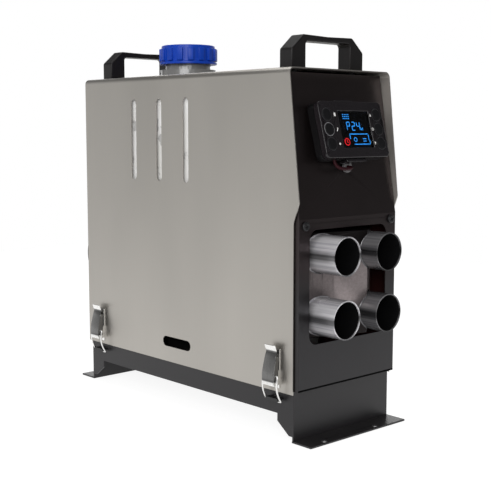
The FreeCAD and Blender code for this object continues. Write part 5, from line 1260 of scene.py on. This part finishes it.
class HEATER_OT_studio(bpy.types.Operator):
    """Sets the pale floor, the soft lights and the camera"""

    bl_idname = "heater.studio"
    bl_label = "Studio"

    def lamp(self, name, place, aim, size, power):
        """A square softbox that looks at its aim."""
        clear_selection()
        bpy.ops.object.light_add(type="AREA", location=place)
        lamp = bpy.context.object
        lamp.name = name
        lamp.data.shape = "RECTANGLE"
        lamp.data.size = lamp.data.size_y = size
        lamp.data.energy = power
        lamp.rotation_euler = (Vector(aim) - Vector(place)).to_track_quat("-Z", "Y").to_euler()

    def backdrop(self, tree, light, white):
        """The white where the camera, metal and glass see it, and the light for everything else."""
        path = node(tree, "LightPath").outputs
        seen = path["Is Camera Ray"]
        metal = maths(tree, "MAXIMUM", seen, path["Is Glossy Ray"])
        shown = maths(tree, "MAXIMUM", metal, path["Is Transmission Ray"])
        return seen, mixed(tree, shown, light, white)

    def sky(self, scene):
        """White for the camera; in metal and glass it dims above and in front of the heater."""
        world = bpy.data.worlds.new("studio")
        scene.world = world
        world.use_nodes = True
        tree = world.node_tree
        room = tree.nodes["Background"]
        aim = axes(tree, node(tree, "TexCoord").outputs["Generated"])
        tone = node(tree, "ValToRGB", {"Fac": aim["Z"]})
        tone.color_ramp.elements[0].color = ROOM_LOW
        tone.color_ramp.elements[1].color = ROOM_HIGH
        tone.color_ramp.elements[1].position = 0.55
        feed(tree, room, {"Color": tone.outputs["Color"], "Strength": ROOM_STRENGTH})
        white = node(tree, "Background", {"Color": (1.0, 1.0, 1.0, 1.0)})
        seen, surface = self.backdrop(tree, room.outputs[0], white.outputs[0])
        above = limits(tree, aim["Z"], 0.0, 0.42, 0.80, 0.2)
        ahead = limits(tree, aim["Y"], -0.6, 0.2, 0.3, 1.0)
        around = maths(tree, "MULTIPLY", above, ahead)
        feed(tree, white, {"Strength": maths(tree, "MAXIMUM", seen, around)})
        feed(tree, tree.nodes["World Output"], {"Surface": surface})

    def floor(self):
        """A sheet of white paper that keeps the heater's shadow."""
        floor = added("floor", bpy.ops.mesh.primitive_plane_add, size=2.4, location=(0.0, 0.25, -0.0006))
        paper, tree, shader = new_material("floor_paper", **{"Base Color": PAPER, "Roughness": 0.9})
        glow = node(tree, "Emission", {"Strength": PAPER_GLOW})
        veil = mixed(tree, PAPER_VEIL, shader.outputs[0], glow.outputs[0])
        surface = self.backdrop(tree, shader.outputs[0], veil)[1]
        feed(tree, tree.nodes["Material Output"], {"Surface": surface})
        floor.data.materials.append(paper)

    def execute(self, context):
        scene = context.scene
        scene.view_settings.view_transform = "Standard"
        studio = scene.heater_studio
        self.sky(scene)
        self.floor()
        for name, settings in LAMPS.items():
            self.lamp(name, *settings)

        clear_selection()
        bpy.ops.object.camera_add(location=studio.place)
        camera = context.object
        camera.data.sensor_width = 36.0
        camera.data.lens = studio.lens
        camera.rotation_euler = (math.pi / 2 - studio.dip, 0.0, studio.turn)
        camera.data.clip_start = 0.01
        scene.camera = camera
        return {"FINISHED"}


class HEATER_PT_sidebar(bpy.types.Panel):
    """Lists the heater's pieces and settings"""

    bl_idname = "HEATER_PT_sidebar"
    bl_label = "Diesel heater"
    bl_space_type = "VIEW_3D"
    bl_region_type = "UI"
    bl_category = "Diesel heater"

    def draw(self, context):
        for name, kind in SETTINGS.items():
            for key in kind.__annotations__:
                self.layout.prop(getattr(context.scene, name), key)
        for operator in OPERATORS:
            self.layout.operator(operator.bl_idname)


OPERATORS = (
    HEATER_OT_finishes, HEATER_OT_edges, HEATER_OT_cap, HEATER_OT_latches, HEATER_OT_screws,
    HEATER_OT_display, HEATER_OT_panel_shade, HEATER_OT_outlets, HEATER_OT_leads, HEATER_OT_studio,
)
SETTINGS = {
    "heater_finishes": HeaterFinishes, "heater_cap": HeaterCap, "heater_latch": HeaterLatch,
    "heater_studio": HeaterStudio,
}
CLASSES = (*SETTINGS.values(), *OPERATORS, HEATER_PT_sidebar)


def register():
    for kind in CLASSES:
        bpy.utils.register_class(kind)
    for name, kind in SETTINGS.items():
        setattr(bpy.types.Scene, name, bpy.props.PointerProperty(type=kind))


def unregister():
    for name in SETTINGS:
        delattr(bpy.types.Scene, name)
    for kind in reversed(CLASSES):
        bpy.utils.unregister_class(kind)


def main():
    register()
    for operator in OPERATORS:
        group, name = operator.bl_idname.split(".")
        getattr(getattr(bpy.ops, group), name)()


if __name__ == "__main__":
    main()
